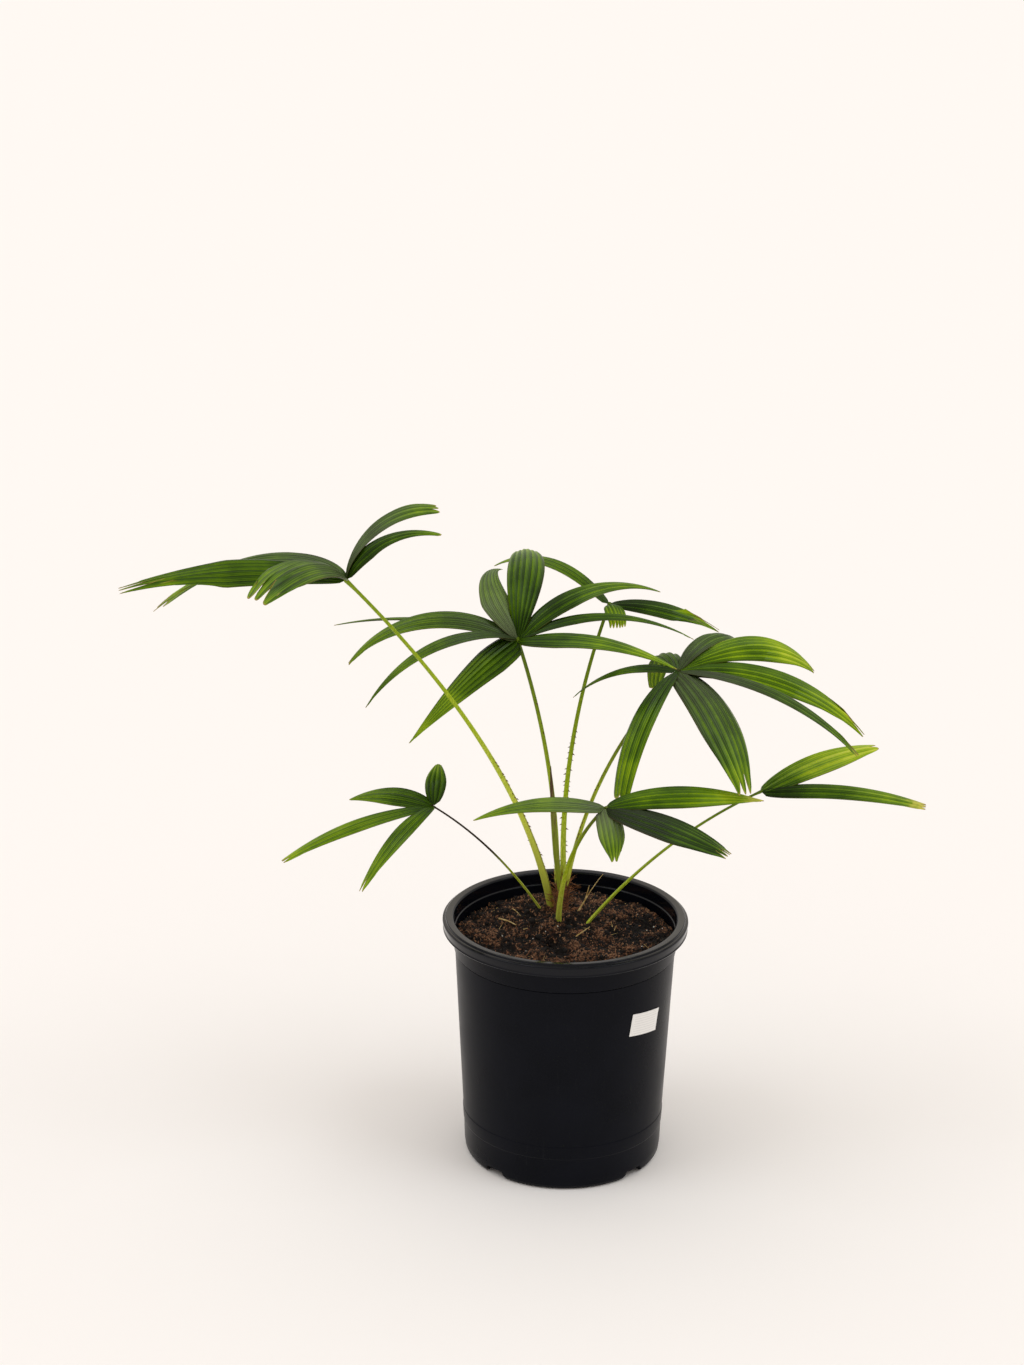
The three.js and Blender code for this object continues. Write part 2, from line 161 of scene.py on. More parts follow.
def leaflet(heading, rise, arch, length, width, pleats, tone, **others):
    """One leaflet: its first heading and rise, how far it arches, its size, its pleats and its tone.

    Lengths are in millimetres and angles in degrees. Bend says where along it the arch falls, sweep how far
    it turns aside, roll how far it is rolled and twist how far it rolls on from hub to tip. It is widest at
    the share widest of its length. Fill and taper say how fully it widens and then narrows, and tip is its
    end's share of the width. Lobes and split are how many lobes its end has and how deep they are cut, and
    point is how blunt they are. Tone runs from dark to yellowish green. It is partly the leaflet's own
    colour
    and partly painted light: the dark is painted shade, and the yellowish is painted light shining through
    it.
    Dry is the share that has yellowed from the tip. The sheen value is how much silvery sheen is painted on
    it, standing in for the reflection of the bright sky.
    """
    usual = {
        "bend": 1, "sweep": 0, "roll": 0, "twist": 0, "widest": 0.5, "fill": 0.5, "taper": 1.7, "tip": 0.3,
        "lobes": 1, "split": 0.03, "point": 2.2, "dry": 0.015, "bloom": 0.0}
    given = {
        "heading": heading, "rise": rise, "arch": arch, "length": length, "width": width, "pleats": pleats,
        "tone": tone}
    return usual | given | others


# Each frond: where its blades meet, where its petiole starts, how that bows and its radii at both ends, in
# millimetres, then how far its upper end is darkened, how far up it has thorns, how pale it is and if it
# rises from the crown or from the mix
FRONDS = (
    {
        "name": "upper_left", "hub": (-210, -120, 650), "foot": (-13.5, 47), "bow": (35, -9, 3),
        "thick": (4.5, 2.2), "darkened": 0.1, "thorns": 0.5, "pale": 0.15, "on_crown": False,
        "leaflets": (
            leaflet(42, 89, 107, 134, 20.5, 4, 0.26, bend=0.6, roll=-31, twist=64, fill=0.7, taper=3,
                    tip=0.6, lobes=3, split=0.06, point=3, bloom=0.25),
            leaflet(5, 70, 86, 104, 23, 4, 0.26, bend=0.85, roll=18, widest=0.33, taper=0.9, tip=0.2),
            leaflet(185, 16.5, 33, 210, 31.5, 6, 0.22, bend=0.72, roll=-37, widest=0.53, taper=0.82,
                    lobes=3, split=0.2),
            leaflet(155, 68, 110, 233, 34, 4, 0.24, bend=0.3, widest=0.6, tip=0.75, lobes=3, split=0.16,
                    bloom=0.15),
            leaflet(235, 46, 80, 136, 42, 6, 0.2, bend=0.9, roll=-12, widest=0.6, taper=2.4, tip=0.62,
                    lobes=3, split=0.2, point=4, bloom=0.2),
        ),
    },
    {
        "name": "centre", "hub": (-51, 20, 547), "foot": (-8.2, 31.5), "bow": (10, 4, -2),
        "thick": (3.7, 2.4), "darkened": 0.25, "thorns": 0.75, "pale": -0.05, "on_crown": True,
        "leaflets": (
            leaflet(159, 15, 34, 200, 18, 4, 0.2, bend=0.8, roll=20, widest=0.4, taper=1.2, tip=0.12),
            leaflet(181, 35, 91, 186, 31, 4, 0.26, roll=-12, widest=0.35, fill=0.4, tip=0.24, lobes=2,
                    split=0.06, bloom=0.12),
            leaflet(209, 28, 83, 184, 22, 4, 0.2, bend=0.87, widest=0.4, fill=0.62, taper=1.3, tip=0.05,
                    bloom=0.08),
            leaflet(224, -11.4, 23.6, 157, 32, 6, 0.32, bend=0.41, roll=-28, widest=0.22, fill=0.15,
                    taper=1.18, tip=0.02),
            leaflet(148, 62, 84, 122, 38, 6, 0.22, sweep=-88, roll=10, widest=0.34, fill=0.6, taper=0.9,
                    tip=0.02, bloom=0.34),
            leaflet(78, 74, 112, 163, 37, 6, 0.3, sweep=20, fill=0.75),
            leaflet(25, 52, 80, 168, 32, 4, 0.36, bend=0.9, roll=5, widest=0.38, taper=1.2, tip=0.1),
            leaflet(5, 36, 68, 180, 23, 4, 0.3, bend=0.8, widest=0.32, taper=1.1, tip=0.06),
            leaflet(-30, 20, 40, 177, 41, 4, 0.4, widest=0.3, fill=0.45, taper=1.2, tip=0.05),
        ),
    },
    {
        "name": "back", "hub": (40, 130, 550), "foot": (-2.5, 33.6), "bow": (-14, 0, 0),
        "thick": (3.1, 1.9), "darkened": 0.35, "thorns": 0.55, "pale": -0.05, "on_crown": True,
        "leaflets": (
            leaflet(150, 42, 79, 147, 22, 4, 0.28, bend=1.2, fill=0.35),
            leaflet(0, 9, 42, 114, 28, 4, 0.3, bend=0.8, roll=15, lobes=2, split=0.3),
            leaflet(-70, 15, 110, 34, 21, 6, 0.42, fill=0.35, tip=0.9, lobes=6, split=0.16, dry=0.1),
        ),
    },
    {
        "name": "right", "hub": (108, 10, 520), "foot": (0.7, 28), "bow": (-15, 0, 10),
        "thick": (3.1, 2.1), "darkened": 0.9, "thorns": 0.5, "pale": -0.05, "on_crown": True,
        "leaflets": (
            leaflet(170, 15, 64, 112, 20, 4, 0.16, bend=0.8, widest=0.3, fill=0.35, taper=1.2, tip=0.05),
            leaflet(110, 44, 139, 90, 26, 4, 0.26, bend=0.75, fill=0.35, tip=0.5, bloom=0.1),
            leaflet(-120, 0, 80, 160, 27, 4, 0.24, bend=0.9, roll=10, fill=0.62, taper=2, tip=0.7, lobes=2),
            leaflet(-62, 0, 62, 162, 44, 6, 0.26, bend=0.9, widest=0.48, fill=0.28, taper=2, tip=0.42,
                    lobes=3, split=0.11, bloom=0.16),
            leaflet(20, 26, 80, 157, 38, 6, 0.52, bend=1.4, roll=24, widest=0.6, fill=1.1, taper=2,
                    tip=0.22, lobes=3, split=0.06),
            leaflet(-5, 13, 63, 200, 33, 6, 0.46, roll=20, fill=0.42, taper=1.8, tip=0.26, lobes=2,
                    split=0.14),
            leaflet(-25, 10, 54, 202, 22, 4, 0.26, roll=-5, widest=0.4, tip=0.36, lobes=3, split=0.1,
                    bloom=0.14),
            leaflet(50, 50, 97, 110, 24, 4, 0.24, bend=0.9, fill=0.6, tip=0.25, bloom=0.16),
        ),
    },
    {
        "name": "low_front", "hub": (37, -110, 421), "foot": (-7, 4), "bow": (-11, 8, 6),
        "thick": (3.2, 1.9), "darkened": 0.6, "thorns": 0.3, "pale": 0.05, "on_crown": False,
        "leaflets": (
            leaflet(185, 16, 44, 126, 28, 4, 0.36, roll=-6, widest=0.35, fill=0.3, taper=1.6, tip=0.1,
                    bloom=0.25),
            leaflet(5, 28, 41, 151, 33, 6, 0.43, bend=0.5, roll=18, widest=0.45, taper=1.8, tip=0.06,
                    dry=0.12),
            leaflet(-30, 4, 26, 132, 38, 6, 0.1, roll=12, fill=0.42, taper=2, tip=0.34, lobes=4, split=0.09,
                    bloom=0.05),
            leaflet(-75, -18, 70, 54, 26, 6, 0.34, widest=0.45, fill=0.2, taper=2.2, tip=0.34, lobes=2,
                    split=0.14, point=3, bloom=0.4),
        ),
    },
    {
        "name": "low_right", "hub": (195, 30, 386), "foot": (19.5, 8), "bow": (-7, 3, 10),
        "thick": (2.3, 1.6), "darkened": 0.3, "thorns": 0.0, "pale": -0.1, "on_crown": False,
        "leaflets": (
            leaflet(30, 25, 32, 141, 35, 4, 0.62, roll=10, taper=2, tip=0.36, lobes=2, split=0.06),
            leaflet(-5, 11, 28, 163, 27, 4, 0.38, roll=8, widest=0.3, fill=0.35, taper=2.6, tip=0.5,
                    lobes=4, split=0.05, dry=0.14),
        ),
    },
    {
        "name": "low_left", "hub": (-134, 0, 376), "foot": (-22.5, 40), "bow": (4, 2, 8),
        "thick": (1.8, 1.2), "darkened": 3.0, "thorns": 0.0, "pale": 0.0, "on_crown": False,
        "leaflets": (
            leaflet(165, 27, 56, 88, 29, 4, 0.32, bend=0.8, roll=-16, widest=0.42, fill=0.42, taper=1.6,
                    tip=0.12),
            leaflet(205, 4, 33, 162, 25, 4, 0.32, tip=0.34, lobes=3, split=0.06),
            leaflet(237, 9, 52, 131, 24, 4, 0.34, bend=0.6, roll=10, widest=0.4, taper=1.5, lobes=2,
                    split=0.1),
            leaflet(85, 68, 60, 45, 21, 4, 0.3),
        ),
    },
)

# Label
LABEL_ANGLE = -42
LABEL_Z = 176 * MM
LABEL_WIDTH = 40 * MM
LABEL_HEIGHT = 24 * MM
LABEL_TILT = -8
LABEL_GAP = 0.42 * MM
LABEL_LIFT = 0.5 * MM
LABEL_LIFT_START = 1.75
LINE_SPACING = 2.6 * MM

# Camera: it stands in front of the pot and looks down on it
CAMERA_PLACE = Vector((0, -2.801, 1.485))
CAMERA_PITCH = 19.21
CAMERA_YAW = 1.153
CAMERA_ROLL = 0.51
CAMERA_LENS = 79.1
SENSOR_WIDTH = 36

# Stage: the sky is brightest in the direction of its top, and a lamp looks this many degrees wide
FLOOR_REACH = 60
SKY_TOP = (0.0, 0.2, 0.98)
LAMP_TURN = 68
LAMP_SLOPE = Vector((0, 0.7, -1))
LAMP_WIDTH = 30


def linear(hex_colour):
    """The linear colour, with alpha, of an sRGB hex value."""
    shares = [int(hex_colour[i:i + 2], 16) / 255 for i in (1, 3, 5)]
    return tuple(c / 12.92 if c <= 0.04045 else ((c + 0.055) / 1.055) ** 2.4 for c in shares) + (1.0,)


def mix(low, high, share):
    """The value that lies this share of the way from low to high."""
    return low + (high - low) * share


def polar(radius, turn, z=0):
    """The point at this distance from the axis and this angle in radians."""
    return radius * math.cos(turn), radius * math.sin(turn), z


def feed(tree, socket, value):
    """Links a socket to another or to a node's first output in use, or sets its constant value."""
    if isinstance(value, bpy.types.Node):
        value = next(output for output in value.outputs if output.enabled)
    if isinstance(value, bpy.types.NodeSocket):
        tree.links.new(value, socket)
    else:
        socket.default_value = value


def add_node(tree, kind, *values, named=None, stops=(), **settings):
    """Adds a node, sets it and links it.

    Its inputs come in the order in which it shows them, or by name. A colour ramp's stops are
    (place, hex colour) pairs.
    """
    node = tree.nodes.new(kind)
    for name, value in settings.items():
        setattr(node, name, value)
    shown = [socket for socket in node.inputs if socket.enabled]
    for socket, value in zip(shown, values):
        feed(tree, socket, value)
    for name, value in (named or {}).items():
        feed(tree, node.inputs[name], value)
    for place, _ in stops[1:-1]:
        node.color_ramp.elements.new(place)
    for number, (place, colour) in enumerate(stops):
        node.color_ramp.elements[number].position = place
        node.color_ramp.elements[number].color = linear(colour)
    return node


def new_material(name, **shader_values):
    """A material with one Principled shader that holds the given constant values."""
    material = bpy.data.materials.new(name)
    material.use_nodes = True
    shader = material.node_tree.nodes["Principled BSDF"]
    for key, value in shader_values.items():
        shader.inputs[key.replace("_", " ")].default_value = value
    return material, material.node_tree, shader


def dress(tree, shader, colour, layers, height, strength, distance):
    """Gives a shader its colour, under layers given as (share, hex colour) pairs, and its relief."""
    for share, layer in layers:
        colour = add_node(tree, "ShaderNodeMix", share, colour, linear(layer), data_type="RGBA")
    feed(tree, shader.inputs["Base Color"], colour)
    relief = add_node(tree, "ShaderNodeBump", strength, distance, named={"Height": height})
    feed(tree, shader.inputs["Normal"], relief)


def palm_leaf():
    """Living palm leaflet: green tissue under a waxy cuticle, with pale ribs on its folds and fine veins.

    Painted light lies in its colour too: shade on one face of each pleat, and a silvery sheen.
    """
    material, tree, shader = new_material("living_palm_leaf", Specular_IOR_Level=0.14)
    coordinates = add_node(tree, "ShaderNodeTexCoord").outputs["Object"]
    across, share, phase, tone, dry, bloom = (
        add_node(tree, "ShaderNodeAttribute", attribute_name=name).outputs["Fac"]
        for name in ("across", "share", "phase", "tone", "dry", "bloom"))

    # Green that drifts over about 40 mm and lightens towards the tip. The lighter tip, like each leaflet's
    # tone, is partly its own colour and partly painted light shining through the thin blade
    patches = add_node(tree, "ShaderNodeTexNoise", coordinates, 25.0, 3.0)
    drift = add_node(tree, "ShaderNodeMapRange", patches, 0.3, 0.7, -0.13, 0.13)
    towards_tip = add_node(tree, "ShaderNodeMapRange", share, 0.1, 1.0, -0.07, 0.28)

    # Painted light and shade on the pleats: one face of each is painted a little lighter than the other, by
    # a fifth of the range
    pleat_shade = add_node(tree, "ShaderNodeMath", phase, operation="FRACT")
    pleat_shade = add_node(tree, "ShaderNodeMapRange", pleat_shade, 0.3, 0.7, -0.1, 0.1)

    # Fine veins: five to each pleat, about 1.4 mm apart and so drawn coarser than the real ones
    veins = add_node(tree, "ShaderNodeMath", phase, 5.0, operation="MULTIPLY")
    veins = add_node(tree, "ShaderNodeMath", veins, 0.5, operation="PINGPONG")
    vein = add_node(tree, "ShaderNodeMapRange", veins, 0.1, 0.4, -0.12, 0.06)

    # Paler ribs along the folds, about 1 mm wide
    fold = add_node(tree, "ShaderNodeMath", phase, 0.5, operation="PINGPONG")
    rib = add_node(tree, "ShaderNodeMapRange", fold, 0.02, 0.09, 0.2, 0.0)
    for part in (drift, towards_tip, pleat_shade, vein, rib):
        tone = add_node(tree, "ShaderNodeMath", tone, part, operation="ADD")
    green = add_node(tree, "ShaderNodeValToRGB", tone, stops=(
        (0.0, "#122002"), (0.2, "#263f02"), (0.4, "#466703"), (0.6, "#749405"), (0.8, "#a2ba12"),
        (1.0, "#cdd048")))

    # Painted sheen: a silvery reflection of the bright sky painted into the colour, strongest from the hub
    # to the arch and broken by the veins
    sheen_layer = add_node(tree, "ShaderNodeMapRange", share, 0.3, 0.8, 1.0, 0.1)
    sheen_breaks = add_node(tree, "ShaderNodeMapRange", veins, 0.1, 0.35, 0.45, 1.1)
    for part in (bloom, sheen_breaks):
        sheen_layer = add_node(tree, "ShaderNodeMath", sheen_layer, part, operation="MULTIPLY")

    # A thin brown margin, and an end that has dried to straw
    edge = add_node(tree, "ShaderNodeMath", across, operation="ABSOLUTE")
    edge = add_node(tree, "ShaderNodeMapRange", edge, 0.94, 0.985, 0.0, 0.7)
    from_tip = add_node(tree, "ShaderNodeMath", 1.0, share, operation="SUBTRACT")
    blotch = add_node(tree, "ShaderNodeTexNoise", coordinates, 160.0, 2.0)
    uneven = add_node(tree, "ShaderNodeMapRange", blotch, 0.3, 0.7, 0.4, 1.3)
    dried = add_node(tree, "ShaderNodeMath", dry, uneven, operation="MULTIPLY")
    yellowed = add_node(tree, "ShaderNodeMapRange", from_tip, 0.0, dried, 1.0, 0.0)
    tip = add_node(tree, "ShaderNodeMapRange", from_tip, 0.002, 0.012, 0.85, 0.0)
    # The painted silvery sheen is laid on first, then the margin and the dried end
    layers = ((sheen_layer, "#98a07a"), (edge, "#3e2c14"), (yellowed, "#cfc552"), (tip, "#8a7440"))
    dress(tree, shader, green, layers, veins, 0.6, 0.3 * MM)

    # The wax is worn in patches, so its gloss varies
    gloss = add_node(tree, "ShaderNodeMapRange", patches, 0.35, 0.65, 0.24, 0.4)
    feed(tree, shader.inputs["Roughness"], gloss)
    return material


def streaked(tree, value, fineness, stretch, spread):
    """Fine streaks along a stalk, and the value changed by up to the spread of them."""
    coordinates = add_node(tree, "ShaderNodeTexCoord").outputs["Object"]
    stretched = add_node(
        tree, "ShaderNodeMapping", coordinates, named={"Scale": (fineness, fineness, stretch)})
    streaks = add_node(tree, "ShaderNodeTexNoise", stretched, 1.0, 2.0)
    streak = add_node(tree, "ShaderNodeMapRange", streaks, 0.3, 0.7, -spread, spread)
    return streaks, add_node(tree, "ShaderNodeMath", value, streak, operation="ADD")


def palm_petiole():
    """Living leaf stalk: smooth, fibrous and lengthwise streaked, yellow-green and darkening upwards."""
    material, tree, shader = new_material("living_petiole", Roughness=0.38, Specular_IOR_Level=0.14)
    share, tone, side, darkened = (
        add_node(tree, "ShaderNodeAttribute", attribute_name=name).outputs["Fac"]
        for name in ("share", "tone", "across", "darkened"))

    # Streaks about 1 mm wide and 30 mm long
    streaks, toned = streaked(tree, tone, 900.0, 30.0, 0.12)
    green = add_node(tree, "ShaderNodeValToRGB", toned, stops=(
        (0.0, "#44600a"), (0.4, "#779312"), (0.75, "#a9bf20"), (1.0, "#d8e05a")))

    # The upper end darkens to near black where the frond does
    upwards = add_node(tree, "ShaderNodeMapRange", share, 0.35, 0.85, 0.0, 1.0)
    upwards = add_node(tree, "ShaderNodeMath", upwards, darkened, operation="MULTIPLY")

    # Brown edges on the lower half
    edge = add_node(tree, "ShaderNodeMath", side, operation="ABSOLUTE")
    edge = add_node(tree, "ShaderNodeMapRange", edge, 0.9, 1.0, 0.0, 0.6)
    low = add_node(tree, "ShaderNodeMapRange", share, 0.3, 0.6, 1.0, 0.0)
    edge = add_node(tree, "ShaderNodeMath", edge, low, operation="MULTIPLY")
    dress(tree, shader, green, ((upwards, "#2e2413"), (edge, "#5a3a1c")), streaks, 0.3, 0.3 * MM)
    return material


def folded_spear():
    """An unopened leaf: tightly pleated, olive where it is alive and brown and dry at its tip."""
    material, tree, shader = new_material("folded_spear_leaf", Roughness=0.55, Specular_IOR_Level=0.25)
    share = add_node(tree, "ShaderNodeAttribute", attribute_name="share").outputs["Fac"]
    streaks, placed = streaked(tree, share, 1200.0, 40.0, 0.15)
    colour = add_node(tree, "ShaderNodeValToRGB", placed, stops=(
        (0.0, "#9aa82e"), (0.5, "#84902a"), (0.72, "#6b5a2c"), (0.85, "#553829"), (1.0, "#43281e")))
    dress(tree, shader, colour, (), streaks, 0.5, 0.3 * MM)
    return material


def plant_matter(name, dark, light, roughness, grain):
    """Dead plant matter: matt, and mottled between two colours over a grain given in metres."""
    material, tree, shader = new_material(name, Roughness=roughness)
    coordinates = add_node(tree, "ShaderNodeTexCoord").outputs["Object"]
    mottle = add_node(tree, "ShaderNodeTexNoise", coordinates, 1 / grain, 4.0)
    colour = add_node(tree, "ShaderNodeValToRGB", mottle, stops=((0.35, dark), (0.65, light)))
    dress(tree, shader, colour, (), mottle, 0.6, grain / 4)
    return material


def peat_mix():
    """Moist peaty potting mix: nearly black in its pores, brown where it has crumbled and dried."""
    material, tree, shader = new_material("peat_potting_mix", Roughness=0.95, Specular_IOR_Level=0.25)
    coordinates = add_node(tree, "ShaderNodeTexCoord").outputs["Object"]
    clods = add_node(tree, "ShaderNodeTexNoise", coordinates, 60.0, 5.0)
    crumbs = add_node(tree, "ShaderNodeTexNoise", coordinates, 600.0, 4.0)
    both = add_node(tree, "ShaderNodeMix", 0.55, clods, crumbs)
    dryness = add_node(tree, "ShaderNodeAttribute", attribute_name="dryness").outputs["Fac"]
    dried = add_node(tree, "ShaderNodeMapRange", dryness, 0.0, 1.0, -0.12, 0.14)
    toned = add_node(tree, "ShaderNodeMath", both, dried, operation="ADD")
    colour = add_node(tree, "ShaderNodeValToRGB", toned, stops=(
        (0.36, "#060302"), (0.47, "#1a100a"), (0.57, "#4a2f20"), (0.68, "#8a6349")))
    dress(tree, shader, colour, (), crumbs, 0.9, 1.2 * MM)
    return material


def moulded_polypropylene(name, specular, roughness):
    """Injection-moulded black polypropylene, with flow marks, light scuffs, a trace of dust and a painted
    reflection on what faces up.
    """
    material, tree, shader = new_material(name, IOR=1.49, Specular_IOR_Level=specular)
    coordinates = add_node(tree, "ShaderNodeTexCoord").outputs["Object"]
    flow = add_node(tree, "ShaderNodeTexNoise", coordinates, 18.0, 4.0)
    body = add_node(tree, "ShaderNodeValToRGB", flow, stops=((0.3, "#070910"), (0.7, "#0c0e16")))

    # Scuffs about 4 mm wide run down the wall, a little aslant
    aslant = add_node(tree, "ShaderNodeMapping", coordinates, named={
        "Rotation": (0.0, 0.25, 0.0), "Scale": (260.0, 260.0, 26.0)})
    scuffs = add_node(tree, "ShaderNodeTexNoise", aslant, 1.0, 3.0, 0.7)
    scuff = add_node(tree, "ShaderNodeMapRange", scuffs, 0.62, 0.78, 0.0, 0.5)

    # Dust on what faces up, with a painted reflection of the sky and the side lamps over it: the flat top of
    # the rim is lightened, most at its sides
    aside = add_node(tree, "ShaderNodeSeparateXYZ", coordinates).outputs["X"]
    aside = add_node(tree, "ShaderNodeMath", aside, operation="ABSOLUTE")
    # The painted reflection of the side lamps grows towards each side of the pot
    settled = add_node(tree, "ShaderNodeMapRange", aside, 40 * MM, 115 * MM, 0.02, 0.65)
    facing = add_node(tree, "ShaderNodeNewGeometry").outputs["Normal"]
    upward = add_node(tree, "ShaderNodeSeparateXYZ", facing).outputs["Z"]
    dust_and_reflection = add_node(tree, "ShaderNodeMapRange", upward, 0.8, 0.97, 0.0, settled)
    grain = add_node(tree, "ShaderNodeTexNoise", coordinates, 1400.0, 2.0)
    dress(tree, shader, body, ((scuff, "#1a1b1e"), (dust_and_reflection, "#56524a")), grain, 0.12, 0.08 * MM)

    gloss = add_node(tree, "ShaderNodeMapRange", flow, 0.3, 0.7, 0.8 * roughness, 1.2 * roughness)
    gloss = add_node(tree, "ShaderNodeMath", gloss, scuff, operation="MAXIMUM")
    feed(tree, shader.inputs["Roughness"], gloss)
    return material


def coated_paper():
    """A white printed sticker of coated paper, blank but for faint ruled lines."""
    material, tree, shader = new_material("coated_label_paper", Roughness=0.45)
    over, across = (
        add_node(tree, "ShaderNodeAttribute", attribute_name=name).outputs["Fac"]
        for name in ("over", "across"))
    rows = add_node(tree, "ShaderNodeMath", over, LABEL_HEIGHT / LINE_SPACING, operation="MULTIPLY")
    rows = add_node(tree, "ShaderNodeMath", rows, 0.5, operation="PINGPONG")
    ruled = add_node(tree, "ShaderNodeMapRange", rows, 0.05, 0.1, 0.35, 0.0)
    inside = add_node(tree, "ShaderNodeMath", across, 0.5, operation="SUBTRACT")
    inside = add_node(tree, "ShaderNodeMath", inside, operation="ABSOLUTE")
    inside = add_node(tree, "ShaderNodeMapRange", inside, 0.4, 0.42, 1.0, 0.0)
    printed = add_node(tree, "ShaderNodeMath", ruled, inside, operation="MULTIPLY")
    colour = add_node(
        tree, "ShaderNodeMix", printed, linear("#f1efeb"), linear("#8f8f90"), data_type="RGBA")
    feed(tree, shader.inputs["Base Color"], colour)
    return material


def place_object(name, data):
    """A new object in the scene that holds this data."""
    made = bpy.data.objects.new(name, data)
    bpy.context.scene.collection.objects.link(made)
    return made


def new_piece(name, mesh, material=None):
    """Puts a mesh in the scene as a piece that rides on the palm's one body."""
    piece = place_object(name, mesh)
    if material is not None:
        mesh.materials.clear()
        mesh.materials.append(material)
    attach(piece, BODY)
    return piece


def new_mesh(name, points, edges, faces, **values):
    """A mesh that stores values on its points: a list of numbers or of vectors for each name."""
    mesh = bpy.data.meshes.new(name)
    mesh.from_pydata(points, edges, faces)
    for key, stored in values.items():
        if isinstance(stored[0], Vector):
            flat = [share for vector in stored for share in vector]
            mesh.attributes.new(key, "FLOAT_VECTOR", "POINT").data.foreach_set("vector", flat)
        else:
            flat = [float(number) for number in stored]
            mesh.attributes.new(key, "FLOAT", "POINT").data.foreach_set("value", flat)
    return mesh


def smooth_by_angle(mesh, degrees):
    """Shades a mesh smooth, but keeps the edges that turn more than this sharp."""
    mesh.polygons.foreach_set("use_smooth", [True] * len(mesh.polygons))
    mesh.set_sharp_from_angle(angle=math.radians(degrees))


def spine_object(name, spines):
    """A scratch object of loose lines. A point is a dict of its place and its other named values."""
    points = [point for spine in spines for point in spine]
    edges = []
    first = 0
    for spine in spines:
        edges += [(i, i + 1) for i in range(first, first + len(spine) - 1)]
        first += len(spine)
    stored = {key: [point[key] for point in points] for key in points[0]}
    return place_object(name, new_mesh(name, stored.pop("place"), edges, [], **stored))


def geometry_tree(name, **inputs):
    """A Geometry Nodes tree with named inputs, each given as a default number or as a kind of data."""
    tree = bpy.data.node_groups.new(name, "GeometryNodeTree")
    tree.interface.new_socket("Geometry", in_out="OUTPUT", socket_type="NodeSocketGeometry")
    for label, default in ({"Geometry": "Geometry"} | inputs | {"Material": "Material"}).items():
        kind = default if isinstance(default, str) else type(default).__name__.capitalize()
        socket = tree.interface.new_socket(
            label.replace("_", " "), in_out="INPUT", socket_type=f"NodeSocket{kind}")
        if kind != default:
            socket.default_value = default
    return tree, add_node(tree, "NodeGroupInput").outputs


def close_tree(tree, geometry, material):
    """Ends a tree: real instances, smooth shading, the material, then the output."""
    real = add_node(tree, "GeometryNodeRealizeInstances", geometry)
    smooth = add_node(tree, "GeometryNodeSetShadeSmooth", real)
    dressed = add_node(tree, "GeometryNodeSetMaterial", smooth, named={"Material": material})
    add_node(tree, "NodeGroupOutput", dressed)
    return tree


def modified_mesh(source, name):
    """The mesh that a scratch object's modifiers make of it. The object is then removed."""
    bpy.context.view_layer.update()
    evaluated = source.evaluated_get(bpy.context.evaluated_depsgraph_get())
    mesh = bpy.data.meshes.new_from_object(evaluated)
    mesh.name = name
    if not mesh.polygons:
        raise RuntimeError(f"{name} has no faces")
    bpy.data.objects.remove(source)
    return mesh


def grown(source, tree, name, **values):
    """The mesh that a tree makes of a scratch object, ahead of its other modifiers."""
    modifier = source.modifiers.new(tree.name, "NODES")
    modifier.node_group = tree
    given = {key.replace("_", " "): value for key, value in values.items()}
    for item in tree.interface.items_tree:
        if item.in_out == "INPUT" and item.name in given:
            modifier[item.identifier] = given[item.name]
    source.modifiers.move(len(source.modifiers) - 1, 0)
    return modified_mesh(source, name)


def turned_mesh(name, profile, sides):
    """A closed mesh turned about Z from (radius, z) points that start and end on the axis."""
    vertices = []
    rings = []
    for radius, z in profile:
        count = sides if radius else 1
        rings.append([len(vertices) + i % count for i in range(sides)])
        vertices += [polar(radius, 2 * math.pi * i / sides, z) for i in range(count)]
    faces = []
    for lower, upper in zip(rings, rings[1:]):
        for i in range(sides):
            j = (i + 1) % sides
            corners = (lower[i], lower[j], upper[j], upper[i])
            faces.append(tuple(dict.fromkeys(corners)))
    return new_mesh(name, vertices, [], faces)


def filleted(profile, radius, steps=3):
    """Rounds each inner corner of a profile by up to this radius, less where its sides are short."""
    rounded = [profile[0]]
    for before, corner, after in zip(profile, profile[1:], profile[2:]):
        a, b, c = Vector(before), Vector(corner), Vector(after)
        reach = min(radius, (a - b).length * 0.4, (c - b).length * 0.4)
        start = b + (a - b).normalized() * reach
        end = b + (c - b).normalized() * reach
        for i in range(steps + 1):
            t = i / steps
            point = start * (1 - t) ** 2 + b * 2 * t * (1 - t) + end * t ** 2
            rounded.append((point.x, point.y))
    rounded.append(profile[-1])
    return rounded


def body_radius(z):
    """Outer radius of the pot's tapering wall."""
    return mix(BODY_FOOT_RADIUS, BODY_TOP_RADIUS, (z - BODY_FOOT_Z) / (RIM_FOOT_Z - BODY_FOOT_Z))


def panel_radius(z):
    """Outer radius of the plain panel between the foot band and the step."""
    foot, top = BAND_Z[1] + 1 * MM, STEP_Z - 1 * MM
    return body_radius(z) - mix(BAND_DEPTH, STEP_DEPTH, (z - foot) / (top - foot))


